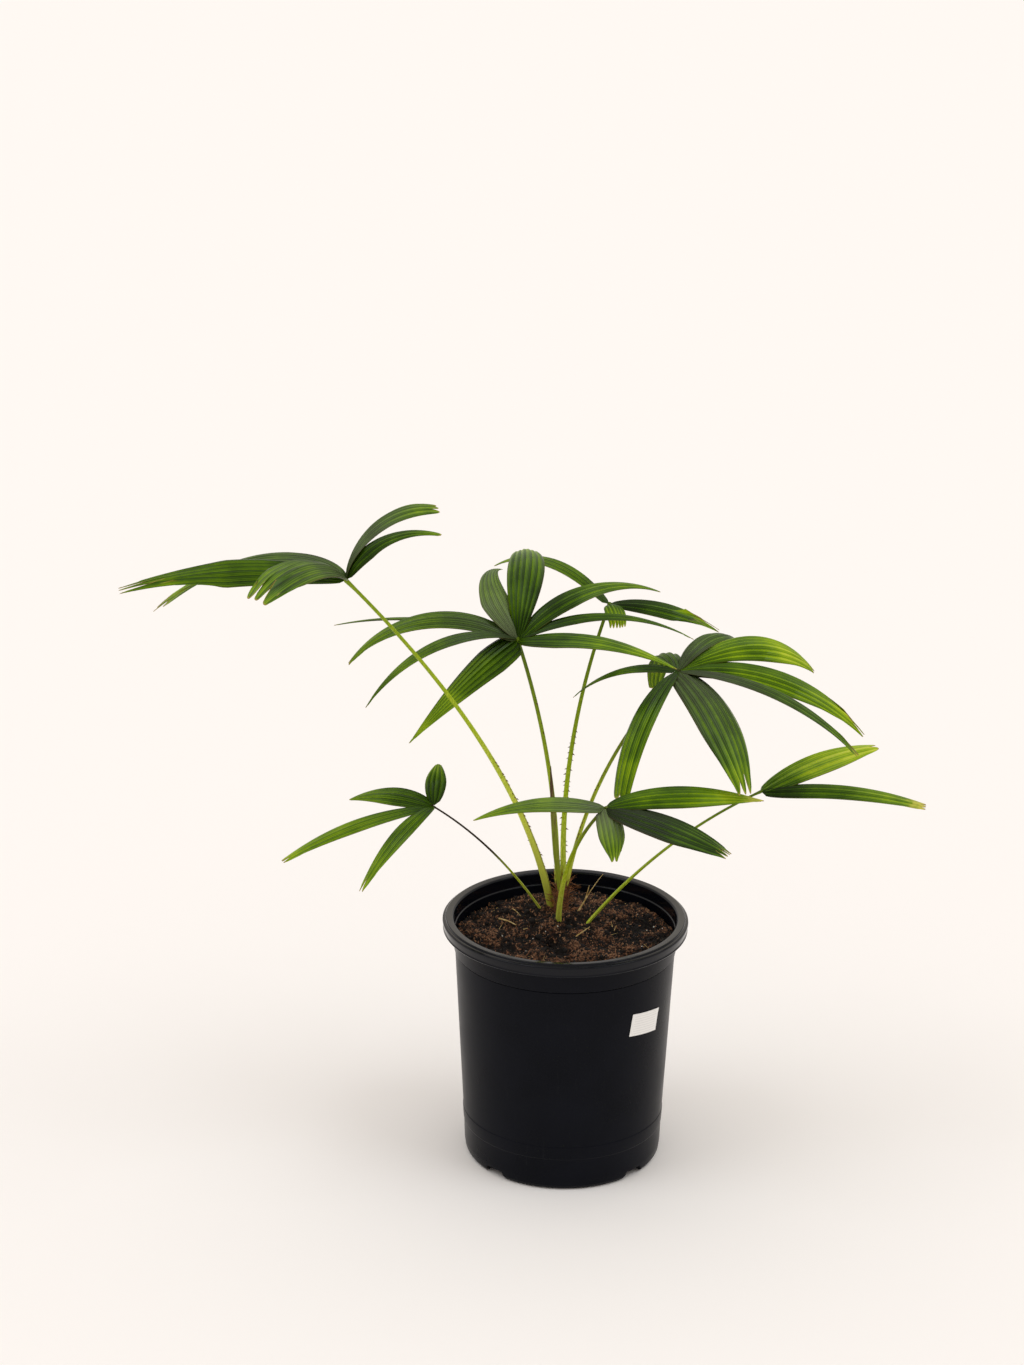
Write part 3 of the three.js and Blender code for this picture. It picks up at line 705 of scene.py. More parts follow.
def pot_profile():
    """The pot's section from the middle of its underside, up the outside and down the inside."""
    band_foot, band_top = BAND_Z
    groove_z = STEP_Z - 0.9 * MM
    groove_radius = panel_radius(groove_z) - 0.7 * MM
    return [
        (0, FOOT_RECESS),
        (FOOT_RADIUS - 22 * MM, FOOT_RECESS),
        (FOOT_RADIUS - 21 * MM, 0),
        (FOOT_RADIUS, 0),
        (FOOT_RADIUS + 3.2 * MM, 1.4 * MM),
        (FOOT_RADIUS + 5 * MM, 4.6 * MM),
        (BODY_FOOT_RADIUS, BODY_FOOT_Z),
        (body_radius(band_foot) - BAND_DEPTH, band_foot),
        (body_radius(band_foot), band_foot + 0.8 * MM),
        (body_radius(band_top), band_top),
        (panel_radius(band_top + 0.8 * MM), band_top + 0.8 * MM),
        (panel_radius(STEP_Z - 1.2 * MM), STEP_Z - 1.2 * MM),
        (groove_radius, groove_z),
        (groove_radius, STEP_Z - 0.3 * MM),
        (body_radius(STEP_Z), STEP_Z),
        (BODY_TOP_RADIUS, RIM_FOOT_Z),
        *((LIP_RADIUS - inward * MM, RIM_FOOT_Z + up * MM) for inward, up in RIM_LOW),
        *((LIP_RADIUS - inward * MM, POT_HEIGHT - down * MM) for inward, down in RIM_HIGH),
        (RIM_TOP_RADIUS, POT_HEIGHT - 0.5 * MM),
        (RIM_TOP_RADIUS - 0.8 * MM, POT_HEIGHT),
        (MOUTH_RADIUS + 1.5 * MM, POT_HEIGHT - 0.6 * MM),
        (MOUTH_RADIUS, POT_HEIGHT - 2 * MM),
        (MOUTH_RADIUS - 0.6 * MM, POT_HEIGHT - LEDGE_DROP + 0.6 * MM),
        (LEDGE_RADIUS, POT_HEIGHT - LEDGE_DROP),
        (body_radius(BODY_FOOT_Z) - POT_WALL, BODY_FOOT_Z),
        (FOOT_RADIUS - 0.5 * MM, POT_FLOOR),
        (0, POT_FLOOR),
    ]


def notch_wedge(name, angle, grow, inner, outer, bottom, top):
    """A scratch wedge that points outwards at this angle and is narrower at its top."""
    slope = (NOTCH_FOOT - NOTCH_TOP) / 2 / NOTCH_HEIGHT
    turn = Quaternion((0, 0, 1), math.radians(angle))
    corners = []
    for radius in (inner, outer):
        for z, sign in ((bottom, -1), (bottom, 1), (top, 1), (top, -1)):
            half = NOTCH_FOOT / 2 - slope * z + grow
            corners.append(turn @ Vector((radius, sign * half, z)))
    faces = [(0, 3, 2, 1), (4, 5, 6, 7), (0, 1, 5, 4), (1, 2, 6, 5), (2, 3, 7, 6), (3, 0, 4, 7)]
    return place_object(name, new_mesh(name, corners, [], faces))


def soil_height(x, y):
    """Height of the potting mix: nearly level at the wall and mounded round the crown, with gentle lumps."""
    mound = MOUND_RISE * math.exp(-((Vector((x, y)) - MOUND).length / MOUND_SPREAD) ** 2)
    along, over = x / MM, y / MM
    lumps = math.sin(along / 9 + 1.3) * math.sin(over / 8 - 0.4)
    lumps += 0.7 * math.sin(along / 17 - over / 13 + 2)
    return SOIL_WALL_Z + mound + LUMP_RISE * lumps


# Sizes and colours that a user would change
class PotSettings(bpy.types.PropertyGroup):
    """Sizes of the pot's surface."""

    sides: IntProperty(name="Sides", description="Facets round the pot", default=224, min=64, max=512)
    fillet: FloatProperty(
        name="Fillet", description="Radius of the moulded corners", default=0.8 * MM, subtype="DISTANCE")


class LabelSettings(bpy.types.PropertyGroup):
    """Sizes of the sticker."""

    thickness: FloatProperty(
        name="Thickness", description="How thick the sticker is", default=0.35 * MM, subtype="DISTANCE")


class SoilSettings(bpy.types.PropertyGroup):
    """The potting mix and what lies on it."""

    clod_height: FloatProperty(
        name="Clod height", description="How far clods rise and hollows sink", default=3.4 * MM,
        subtype="DISTANCE")
    crumb_density: FloatProperty(
        name="Crumb density", description="Crumbs on each square metre", default=150000.0)
    crumb_size: FloatProperty(
        name="Crumb size", description="Width of a middling crumb", default=1.6 * MM, subtype="DISTANCE")
    seed: IntProperty(name="Seed", description="Chooses where the crumbs lie", default=11)


class CrownSettings(bpy.types.PropertyGroup):
    """The fibre round the crown."""

    fibre_density: FloatProperty(
        name="Fibre density", description="Fibres on each square metre of the crown", default=100000.0)
    fibre_length: FloatProperty(
        name="Fibre length", description="Length of a middling fibre", default=12 * MM, subtype="DISTANCE")


class PetioleSettings(bpy.types.PropertyGroup):
    """The leaf stalks and their thorns."""

    sides: IntProperty(name="Sides", description="Facets round a stalk", default=16, min=6, max=48)
    thorn_spacing: FloatProperty(
        name="Thorn spacing", description="Distance between thorns along an edge", default=5.5 * MM,
        subtype="DISTANCE")
    thorn_length: FloatProperty(
        name="Thorn length", description="Length of a middling thorn", default=2.3 * MM, subtype="DISTANCE")


class FanSettings(bpy.types.PropertyGroup):
    """The leaflets."""

    columns: IntProperty(name="Columns", description="Faces across a leaflet", default=24, min=8, max=48)
    pleat_depth: FloatProperty(
        name="Pleat depth", description="Depth of a pleat as a share of its width", default=0.3)
    fold: FloatProperty(
        name="Fold", description="How far the edges droop from the midrib, as a share of the half-width",
        default=0.3)
    thickness: FloatProperty(
        name="Thickness", description="Thickness of a leaflet", default=0.5 * MM, subtype="DISTANCE")


class StageSettings(bpy.types.PropertyGroup):
    """The floor and the light."""

    floor_colour: FloatVectorProperty(
        name="Floor colour", description="Colour of the plain floor", size=4, subtype="COLOR",
        default=linear("#f8f4f0"))
    room_strength: FloatProperty(
        name="Room strength", description="Strength of the soft light from low down", default=0.25)
    overhead_strength: FloatProperty(
        name="Overhead strength", description="Strength of the soft light from above", default=1.0)
    key_strength: FloatProperty(
        name="Key strength", description="Strength of the stronger of the two side lamps", default=0.55)


class MakePot(bpy.types.Operator):
    """Turns the pot from its section and cuts its drain notches."""

    bl_idname = "palm.make_pot"
    bl_label = "Pot"

    def execute(self, context):
        settings = context.scene.palm_pot
        profile = filleted(pot_profile(), settings.fillet)
        source = place_object("pot_source", turned_mesh("pot_source", profile, settings.sides))
        inner, top = NOTCH_INNER - NOTCH_SHELL, NOTCH_HEIGHT + NOTCH_SHELL
        pocket = (NOTCH_SHELL, inner, FOOT_RADIUS, POT_FLOOR / 2, top)
        notch = (0, NOTCH_INNER, NOTCH_OUTER, -1 * MM, NOTCH_HEIGHT)
        wedges = []
        for kind, operation, sizes in (("pocket", "UNION", pocket), ("notch", "DIFFERENCE", notch)):
            for angle in NOTCH_ANGLES:
                wedge = notch_wedge(f"{kind}_{angle}", angle, *sizes)
                modifier = source.modifiers.new(wedge.name, "BOOLEAN")
                modifier.operation = operation
                modifier.solver = "EXACT"
                modifier.object = wedge
                wedges.append(wedge)
        mesh = modified_mesh(source, "nursery_pot")
        for wedge in wedges:
            bpy.data.objects.remove(wedge)
        smooth_by_angle(mesh, 35)
        pot = new_piece("nursery_pot", mesh, moulded_polypropylene("satin_polypropylene", 0.08, 0.3))

        # The rim is smoother than the satin wall, because hands and stacking polish it
        mesh.materials.append(moulded_polypropylene("polished_polypropylene", 0.2, 0.11))
        mesh.polygons.foreach_set(
            "material_index", [int(polygon.center.z > RIM_FOOT_Z) for polygon in mesh.polygons])
        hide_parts("pot")
        return {"FINISHED"}


class MakeLabel(bpy.types.Operator):
    """Lays the sticker on the pot's wall, with one corner that lifts a little."""

    bl_idname = "palm.make_label"
    bl_label = "Label"

    def execute(self, context):
        thickness = context.scene.palm_label.thickness
        columns, rows = 24, 12
        tilt = math.radians(LABEL_TILT)
        vertices, across_values, over_values = [], [], []
        for out in (LABEL_GAP + thickness, LABEL_GAP):
            for i in range(columns + 1):
                for j in range(rows + 1):
                    across = (i / columns - 0.5) * LABEL_WIDTH
                    over = (j / rows - 0.5) * LABEL_HEIGHT
                    s = across * math.cos(tilt) - over * math.sin(tilt)
                    z = LABEL_Z + across * math.sin(tilt) + over * math.cos(tilt)
                    cornered = max(0.0, i / columns + j / rows - LABEL_LIFT_START) / (2 - LABEL_LIFT_START)
                    radius = panel_radius(z) + out + LABEL_LIFT * cornered
                    vertices.append(polar(radius, math.radians(LABEL_ANGLE) + s / panel_radius(LABEL_Z), z))
                    across_values.append(i / columns)
                    over_values.append(j / rows)
        faces = []
        layer = (columns + 1) * (rows + 1)
        for i in range(columns):
            for j in range(rows):
                a = i * (rows + 1) + j
                b = a + rows + 1
                faces.append((a, b, b + 1, a + 1))
                faces.append((layer + a, layer + a + 1, layer + b + 1, layer + b))
        border = [i * (rows + 1) for i in range(columns + 1)]
        border += [columns * (rows + 1) + j for j in range(1, rows + 1)]
        border += [i * (rows + 1) + rows for i in range(columns - 1, -1, -1)]
        border += list(range(rows - 1, 0, -1))
        faces += [(b, a, layer + a, layer + b) for a, b in zip(border, border[1:] + border[:1])]
        mesh = new_mesh("label", vertices, [], faces, across=across_values, over=over_values)
        smooth_by_angle(mesh, 40)
        label = new_piece("blank_label", mesh, coated_paper())
        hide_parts("label")
        return {"FINISHED"}


def soil_surface(clod_height):
    """The potting mix's closed top layer: a fine polar grid with clods, and a skirt down the wall."""
    rings, sides = 76, 300
    flat = [(0, 0, 0)]
    for i in range(1, rings + 1):
        flat += [
            polar(SOIL_RADIUS * i / rings, 2 * math.pi * (j + 0.5 * (i % 2)) / sides) for j in range(sides)]
    placed = []
    dryness = []
    for x, y, _ in flat:
        edge = math.hypot(x, y) / SOIL_RADIUS
        rough = noise.fractal(Vector((x, y, 0.31)) / CLOD_SPREAD, 0.9, 2.1, 3)
        fine = noise.fractal(Vector((x, y, 0.77)) / CRUMB_SPREAD, 0.7, 2.2, 3)
        calm = min(1.0, (1.02 - edge) / 0.08)
        z = soil_height(x, y) + calm * clod_height * rough + 0.4 * clod_height * fine
        dry = 0.34 + 0.6 * rough + 0.3 * fine
        for clod_x, clod_y, radius, height, clod_dry in CLODS:
            off = math.hypot(x / MM - clod_x, y / MM - clod_y) / radius * (1 + 0.3 * fine)
            dome = math.exp(-off ** 4)
            z += height * MM * dome
            dry = mix(dry, clod_dry, dome)
        placed.append((x, y, z))
        dryness.append(min(1.0, max(0.0, dry)))
    faces = [(0, 1 + j, 1 + (j + 1) % sides) for j in range(sides)]
    for i in range(rings):
        low, high = 1 + i * sides, 1 + (i + 1) * sides
        for j in range(sides):
            k = (j + 1) % sides
            faces.append((low + j, high + j, high + k, low + k))
    foot = len(placed)
    placed += [(x * 0.99, y * 0.99, SOIL_WALL_Z - SOIL_SKIRT) for x, y, _ in placed[foot - sides:]]
    dryness += [0.0] * sides
    faces.append(tuple(range(foot + sides - 1, foot - 1, -1)))
    return new_mesh("potting_mix", placed, [], faces, dryness=dryness)


def crumb_object(name, seed, subdivisions, stretch):
    """A scratch crumb about 1 unit across: a rough lump, stretched by the given three shares."""
    lump = bmesh.new()
    bmesh.ops.create_icosphere(lump, subdivisions=subdivisions, radius=0.5)
    for vertex in lump.verts:
        bump = 1 + 0.5 * noise.noise(vertex.co * 3 + Vector((seed, 0, 0)))
        vertex.co = Vector([c * bump * s for c, s in zip(vertex.co, stretch)])
    mesh = bpy.data.meshes.new(name)
    lump.to_mesh(mesh)
    lump.free()
    return place_object(name, mesh)


def scatter_tree():
    """Strews copies of one object over the upward faces of a surface, each turned and sized at random."""
    tree, given = geometry_tree(
        "Scattered crumbs", Crumb="Object", Density=1000.0, Where_dry=0.0, Smallest=1 * MM, Largest=3 * MM,
        Sunk=0.0, Seed=1)
    normal = add_node(tree, "GeometryNodeInputNormal").outputs["Normal"]
    upward = add_node(tree, "ShaderNodeSeparateXYZ", normal).outputs["Z"]
    upward = add_node(tree, "FunctionNodeCompare", upward, 0.3, operation="GREATER_THAN")
    dryness = add_node(tree, "GeometryNodeInputNamedAttribute", "dryness")
    doubled = add_node(tree, "ShaderNodeMath", dryness, 2.0, operation="MULTIPLY")
    chosen = add_node(tree, "ShaderNodeMix", given["Where dry"], 1.0, doubled)
    density = add_node(tree, "ShaderNodeMath", given["Density"], chosen, operation="MULTIPLY")
    points = add_node(
        tree, "GeometryNodeDistributePointsOnFaces", given["Geometry"], upward, density, given["Seed"])
    lowered = add_node(tree, "ShaderNodeMath", given["Sunk"], -1.0, operation="MULTIPLY")
    offset = add_node(tree, "ShaderNodeCombineXYZ", 0.0, 0.0, lowered)
    settled = add_node(tree, "GeometryNodeSetPosition", points, named={"Offset": offset})
    turn = add_node(tree, "FunctionNodeRandomValue", (0.0, 0.0, 0.0), (math.tau, math.tau, math.tau), named={
        "Seed": given["Seed"]}, data_type="FLOAT_VECTOR")
    pick = add_node(tree, "FunctionNodeRandomValue", 0.0, 1.0, named={"Seed": given["Seed"]})
    pick = add_node(tree, "ShaderNodeMath", pick, 2.2, operation="POWER")
    size = add_node(tree, "ShaderNodeMapRange", pick, 0.0, 1.0, given["Smallest"], given["Largest"])
    crumb = add_node(tree, "GeometryNodeObjectInfo", given["Crumb"]).outputs["Geometry"]
    copies = add_node(tree, "GeometryNodeInstanceOnPoints", settled, named={
        "Instance": crumb, "Rotation": turn, "Scale": size})
    return close_tree(tree, copies, given["Material"])


class MakeSoil(bpy.types.Operator):
    """Fills the pot with potting mix and strews crumbs, clods, bark and perlite over it."""

    bl_idname = "palm.make_soil"
    bl_label = "Potting mix"

    def execute(self, context):
        settings = context.scene.palm_soil
        surface = soil_surface(settings.clod_height)
        smooth_by_angle(surface, 60)
        soil = new_piece("potting_mix", surface, peat_mix())
        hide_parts("soil")

        tree = scatter_tree()
        size = settings.crumb_size
        dark = plant_matter("dark_peat_crumbs", "#050302", "#1c110b", 0.95, 2 * MM)
        brown = plant_matter("dry_peat_crumbs", "#46301f", "#a87d5c", 0.95, 2 * MM)
        bark = plant_matter("shredded_bark", "#55301c", "#a8744f", 0.85, 1 * MM)
        perlite = plant_matter("expanded_perlite", "#cfc8bc", "#f2efe8", 0.9, 1 * MM)
        density = settings.crumb_density

        # Of each kind: how fine its mesh is, its shape, its number to the square metre, how much of it
        # lies only where the mix is dry, its smallest and largest size, and its material
        kinds = (
            ("dark_crumbs", 1, (1, 0.8, 0.7), density, 0.0, 0.6 * size, 2.4 * size, dark),
            ("dry_crumbs", 1, (1, 0.9, 0.6), 0.7 * density, 1.0, 0.5 * size, 2.2 * size, brown),
            ("clods", 2, (1, 0.8, 0.7), 5200.0, 0.0, 2.4 * size, 5.4 * size, dark),
            ("bark_chips", 1, (1, 0.3, 0.18), 30000.0, 0.8, 1.2 * size, 4.6 * size, bark),
            ("perlite_grains", 2, (1, 0.9, 0.8), 620.0, 0.0, 0.8 * size, 1.5 * size, perlite),
        )
        for step, (name, fineness, stretch, number, dry, smallest, largest, material) in enumerate(kinds, 1):
            crumb = crumb_object(f"{name}_source", step, fineness, stretch)
            ground = place_object(f"{name}_ground", surface.copy())
            mesh = grown(
                ground, tree, name, Crumb=crumb, Density=number, Where_dry=dry, Smallest=smallest,
                Largest=largest, Sunk=0.1 * smallest, Seed=settings.seed + step, Material=material)
            bpy.data.objects.remove(crumb)
            piece = new_piece(name, mesh)
        return {"FINISHED"}


def stalk_tree():
    """Sweeps a round or ribbed section along lines whose points know their girth and upper side."""
    tree, given = geometry_tree("Swept stalks", Sides=16, Flatness=0.0, Ribs=0.0, Rib_depth=0.0)
    curve = add_node(tree, "GeometryNodeMeshToCurve", given["Geometry"])
    up = add_node(tree, "GeometryNodeInputNamedAttribute", "up", data_type="FLOAT_VECTOR")
    girth = add_node(tree, "GeometryNodeInputNamedAttribute", "girth")
    facing = add_node(tree, "GeometryNodeSetCurveNormal", curve, named={"Normal": up}, mode="FREE")

    # The section's X runs along the upper side's direction, so a flattened +X is a flat upper side
    circle = add_node(tree, "GeometryNodeCurvePrimitiveCircle", given["Sides"], 1.0)
    place = add_node(tree, "GeometryNodeInputPosition")
    split = add_node(tree, "ShaderNodeSeparateXYZ", place).outputs
    angle = add_node(tree, "ShaderNodeMath", split["Y"], split["X"], operation="ARCTAN2")
    turns = add_node(tree, "ShaderNodeMath", angle, given["Ribs"], operation="MULTIPLY")
    wave = add_node(tree, "ShaderNodeMath", turns, operation="COSINE")
    rib = add_node(tree, "ShaderNodeMath", wave, given["Rib depth"], 1.0, operation="MULTIPLY_ADD")
    ribbed = add_node(tree, "ShaderNodeVectorMath", place, rib, operation="SCALE")
    kept = add_node(tree, "ShaderNodeMath", 1.0, given["Flatness"], operation="SUBTRACT")
    above = add_node(tree, "ShaderNodeMath", split["X"], 0.0, operation="GREATER_THAN")
    squeeze = add_node(tree, "ShaderNodeMix", above, 1.0, kept)
    squeeze = add_node(tree, "ShaderNodeCombineXYZ", squeeze, 1.0, 1.0)
    shaped = add_node(tree, "ShaderNodeVectorMath", ribbed, squeeze, operation="MULTIPLY")
    section = add_node(tree, "GeometryNodeSetPosition", circle, named={"Position": shaped})
    section = add_node(tree, "GeometryNodeStoreNamedAttribute", section, True, "across", split["Y"])
    swept = add_node(tree, "GeometryNodeCurveToMesh", facing, section, girth, True)
    return close_tree(tree, swept, given["Material"])


def thorn_tree():
    """Sets small thorns along both edges of stalks, as far up as each point's thorn limit allows."""
    tree, given = geometry_tree("Edge thorns", Spacing=7 * MM, Length=1.7 * MM, Seed=5)
    curve = add_node(tree, "GeometryNodeMeshToCurve", given["Geometry"])
    points = add_node(tree, "GeometryNodeCurveToPoints", curve, given["Spacing"], mode="LENGTH")
    pairs = add_node(tree, "GeometryNodeDuplicateElements", points, True, 2, domain="POINT").outputs
    sign = add_node(tree, "ShaderNodeMath", pairs["Duplicate Index"], 2.0, -1.0, operation="MULTIPLY_ADD")
    share, limit, girth = (
        add_node(tree, "GeometryNodeInputNamedAttribute", name) for name in ("share", "thorns", "girth"))
    side, along = (
        add_node(tree, "GeometryNodeInputNamedAttribute", name, data_type="FLOAT_VECTOR")
        for name in ("side", "along"))

    # Some are left out at random, and all beyond the limit
    chance = add_node(tree, "FunctionNodeRandomValue", 0.0, 1.0, named={"Seed": given["Seed"]})
    beyond = add_node(tree, "ShaderNodeMath", share, limit, operation="GREATER_THAN")
    skipped = add_node(tree, "ShaderNodeMath", chance, 0.7, operation="GREATER_THAN")
    none = add_node(tree, "ShaderNodeMath", beyond, skipped, operation="MAXIMUM")
    kept = add_node(tree, "GeometryNodeDeleteGeometry", pairs["Geometry"], none, domain="POINT")

    # Each moves out to its edge and slides along it by a random step
    outward = add_node(tree, "ShaderNodeVectorMath", side, sign, operation="SCALE")
    reach = add_node(tree, "ShaderNodeMath", girth, 0.9, operation="MULTIPLY")
    offset = add_node(tree, "ShaderNodeVectorMath", outward, reach, operation="SCALE")
    low, high = (-THORN_JITTER,) * 3, (THORN_JITTER,) * 3
    jitter = add_node(
        tree, "FunctionNodeRandomValue", low, high, named={"Seed": given["Seed"]}, data_type="FLOAT_VECTOR")
    slid = add_node(tree, "ShaderNodeVectorMath", along, jitter, operation="MULTIPLY")
    offset = add_node(tree, "ShaderNodeVectorMath", offset, slid, operation="ADD")
    edge = add_node(tree, "GeometryNodeSetPosition", kept, named={"Offset": offset})

    # They point outwards and hook back down the stalk
    hooked = add_node(tree, "ShaderNodeVectorMath", along, -0.5, operation="SCALE")
    pointing = add_node(tree, "ShaderNodeVectorMath", outward, hooked, operation="ADD")
    turn = add_node(tree, "FunctionNodeAlignRotationToVector", named={"Vector": pointing}, axis="Z")
    spike = add_node(tree, "GeometryNodeMeshCone", named={
        "Vertices": 6, "Radius Top": 0.02, "Radius Bottom": 0.3, "Depth": 1.0})
    size = add_node(tree, "FunctionNodeRandomValue", 0.5, 1.3, named={"Seed": given["Seed"]})
    size = add_node(tree, "ShaderNodeMath", size, given["Length"], operation="MULTIPLY")
    thorns = add_node(tree, "GeometryNodeInstanceOnPoints", edge, named={
        "Instance": spike, "Rotation": turn, "Scale": size})
    return close_tree(tree, thorns, given["Material"])


def level_side(along):
    """The level direction square to this one, or +X where it is upright."""
    side = along.cross(Vector((0, 0, 1)))
    return side.normalized() if side.length > 1e-6 else Vector((1, 0, 0))


def petiole_spine(frond):
    """The points of a frond's stalk, from its foot, sunk in the mix or the crown, to the hub."""
    x, y = (place * MM for place in frond["foot"])
    on_crown = frond["on_crown"]
    foot = Vector((x, y, CROWN_TOP + CROWN_LIFT if on_crown else soil_height(x, y) - FOOT_DEPTH))
    hub = Vector(frond["hub"]) * MM
    bend = (foot + hub) / 2 + Vector(frond["bow"]) * 2 * MM
    foot_radius, tip_radius = (radius * MM for radius in frond["thick"])
    steps = 72
    spine = []
    for i in range(steps + 1):
        t = i / steps
        along = ((bend - foot) * (1 - t) + (hub - bend) * t).normalized()
        side = level_side(along)
        girth = mix(tip_radius, foot_radius, (1 - t) ** GIRTH_TAPER)
        girth *= 1 + HUB_SWELL * math.exp(-((t - 1) / HUB_SWELL_REACH) ** 2)
        spine.append({
            "place": foot * (1 - t) ** 2 + bend * 2 * t * (1 - t) + hub * t ** 2,
            "along": along, "side": side, "up": side.cross(along), "girth": girth, "share": t,
            "tone": mix(FOOT_TONE, TOP_TONE, t) + frond["pale"], "darkened": frond["darkened"],
            "thorns": frond["thorns"]})

    # A last point lies inside the hub, and on the crown a first one lies inside that
    end = spine[-1]
    spine.append(end | {"place": hub + end["along"] * HUB_RADIUS * 0.5, "girth": tip_radius * 0.8})
    if on_crown:
        start = spine[0]["place"]
        sunk = start.lerp(Vector((CROWN.x, CROWN.y, start.z)), 0.5) - Vector((0, 0, CROWN_DEPTH))
        spine.insert(0, spine[0] | {"place": sunk, "girth": foot_radius * 0.7})
    return spine


class MakePetioles(bpy.types.Operator):
    """Sweeps the seven leaf stalks and sets the thorns on their edges."""

    bl_idname = "palm.make_petioles"
    bl_label = "Petioles"

    def execute(self, context):
        settings = context.scene.palm_petioles
        tree = stalk_tree()
        green = palm_petiole()
        spines = [petiole_spine(frond) for frond in FRONDS]
        for frond, spine in zip(FRONDS, spines):
            name = f"stalk_{frond['name']}"
            source = spine_object(f"{name}_spine", [spine])
            mesh = grown(
                source, tree, name, Sides=settings.sides, Flatness=FLAT_UPPER_SIDE, Material=green)
            smooth_by_angle(mesh, 60)
            stalk = new_piece(name, mesh)
            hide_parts(f"petiole_{frond['name']}")
        thorn_skin = plant_matter("petiole_thorns", "#3a2112", "#8a6a35", 0.6, 0.5 * MM)
        mesh = grown(
            spine_object("thorn_spines", spines), thorn_tree(), "petiole_thorns",
            Spacing=settings.thorn_spacing, Length=settings.thorn_length, Material=thorn_skin)
        thorns = new_piece("petiole_thorns", mesh)
        return {"FINISHED"}


class MakeSpear(bpy.types.Operator):
    """Sweeps the unopened leaf from the crown to its dry tip."""

    bl_idname = "palm.make_spear"
    bl_label = "Spear"

    def execute(self, context):
        along = (SPEAR_TIP - SPEAR_FOOT).normalized()
        side = along.cross(Vector((0, 1, 0))).normalized()
        spine = []
        steps = 44
        for i in range(steps + 1):
            t = i / steps
            low, high = next((a, b) for a, b in zip(SPEAR_GIRTHS, SPEAR_GIRTHS[1:]) if t <= b[0])
            spine.append({
                "place": SPEAR_FOOT.lerp(SPEAR_TIP, t) + side * SPEAR_LEAN * MM * math.sin(t * 3.1),
                "along": along, "side": side, "up": side.cross(along), "share": t,
                "girth": mix(low[1], high[1], (t - low[0]) / (high[0] - low[0])) * MM})
        mesh = grown(
            spine_object("spear_spine", [spine]), stalk_tree(), "spear_leaf", Sides=40, Ribs=8.0,
            Rib_depth=0.14, Material=folded_spear())
        smooth_by_angle(mesh, 60)
        spear = new_piece("spear_leaf", mesh)
        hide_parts("spear")
        return {"FINISHED"}


def strand_object(name, lean):
    """A scratch fibre 1 unit long that rises and leans over: a thin three-sided taper."""
    vertices, faces = [], []
    sections = 6
    for i in range(sections + 1):
        t = i / sections
        centre = Vector((lean * t * t, 0.06 * math.sin(5 * t), t))
        vertices += [centre + Vector(polar(0.03 * (1 - 0.8 * t), 2 * math.pi * j / 3)) for j in range(3)]
    for i in range(0, 3 * sections, 3):
        for j, k in ((0, 1), (1, 2), (2, 0)):
            faces.append((i + j, i + k, i + 3 + k, i + 3 + j))
    faces += [(2, 1, 0), (3 * sections, 3 * sections + 1, 3 * sections + 2)]
    return place_object(name, new_mesh(name, vertices, [], faces))


def fibre_tree():
    """Lays fibres on a surface: they rise along it and lean a little outwards."""
    tree, given = geometry_tree("Crown fibres", Strand="Object", Density=1000.0, Length=9 * MM, Seed=3)
    points = add_node(tree, "GeometryNodeDistributePointsOnFaces", given["Geometry"], named={
        "Density": given["Density"], "Seed": given["Seed"]})
    normal = points.outputs["Normal"]
    outward = add_node(tree, "ShaderNodeVectorMath", normal, 0.22, operation="SCALE")
    sway = add_node(tree, "FunctionNodeRandomValue", (-0.8, -0.8, -0.2), (0.8, 0.8, 1.2), named={
        "Seed": given["Seed"]}, data_type="FLOAT_VECTOR")
    rising = add_node(tree, "ShaderNodeVectorMath", outward, sway, operation="ADD")
    turn = add_node(
        tree, "FunctionNodeAxesToRotation", rising, normal, primary_axis="Z", secondary_axis="X")
    size = add_node(tree, "FunctionNodeRandomValue", 0.5, 1.4, named={"Seed": given["Seed"]})
    size = add_node(tree, "ShaderNodeMath", size, given["Length"], operation="MULTIPLY")
    strand = add_node(tree, "GeometryNodeObjectInfo", given["Strand"]).outputs["Geometry"]
    fibres = add_node(tree, "GeometryNodeInstanceOnPoints", points, named={
        "Instance": strand, "Rotation": turn, "Scale": size})
    return close_tree(tree, fibres, given["Material"])


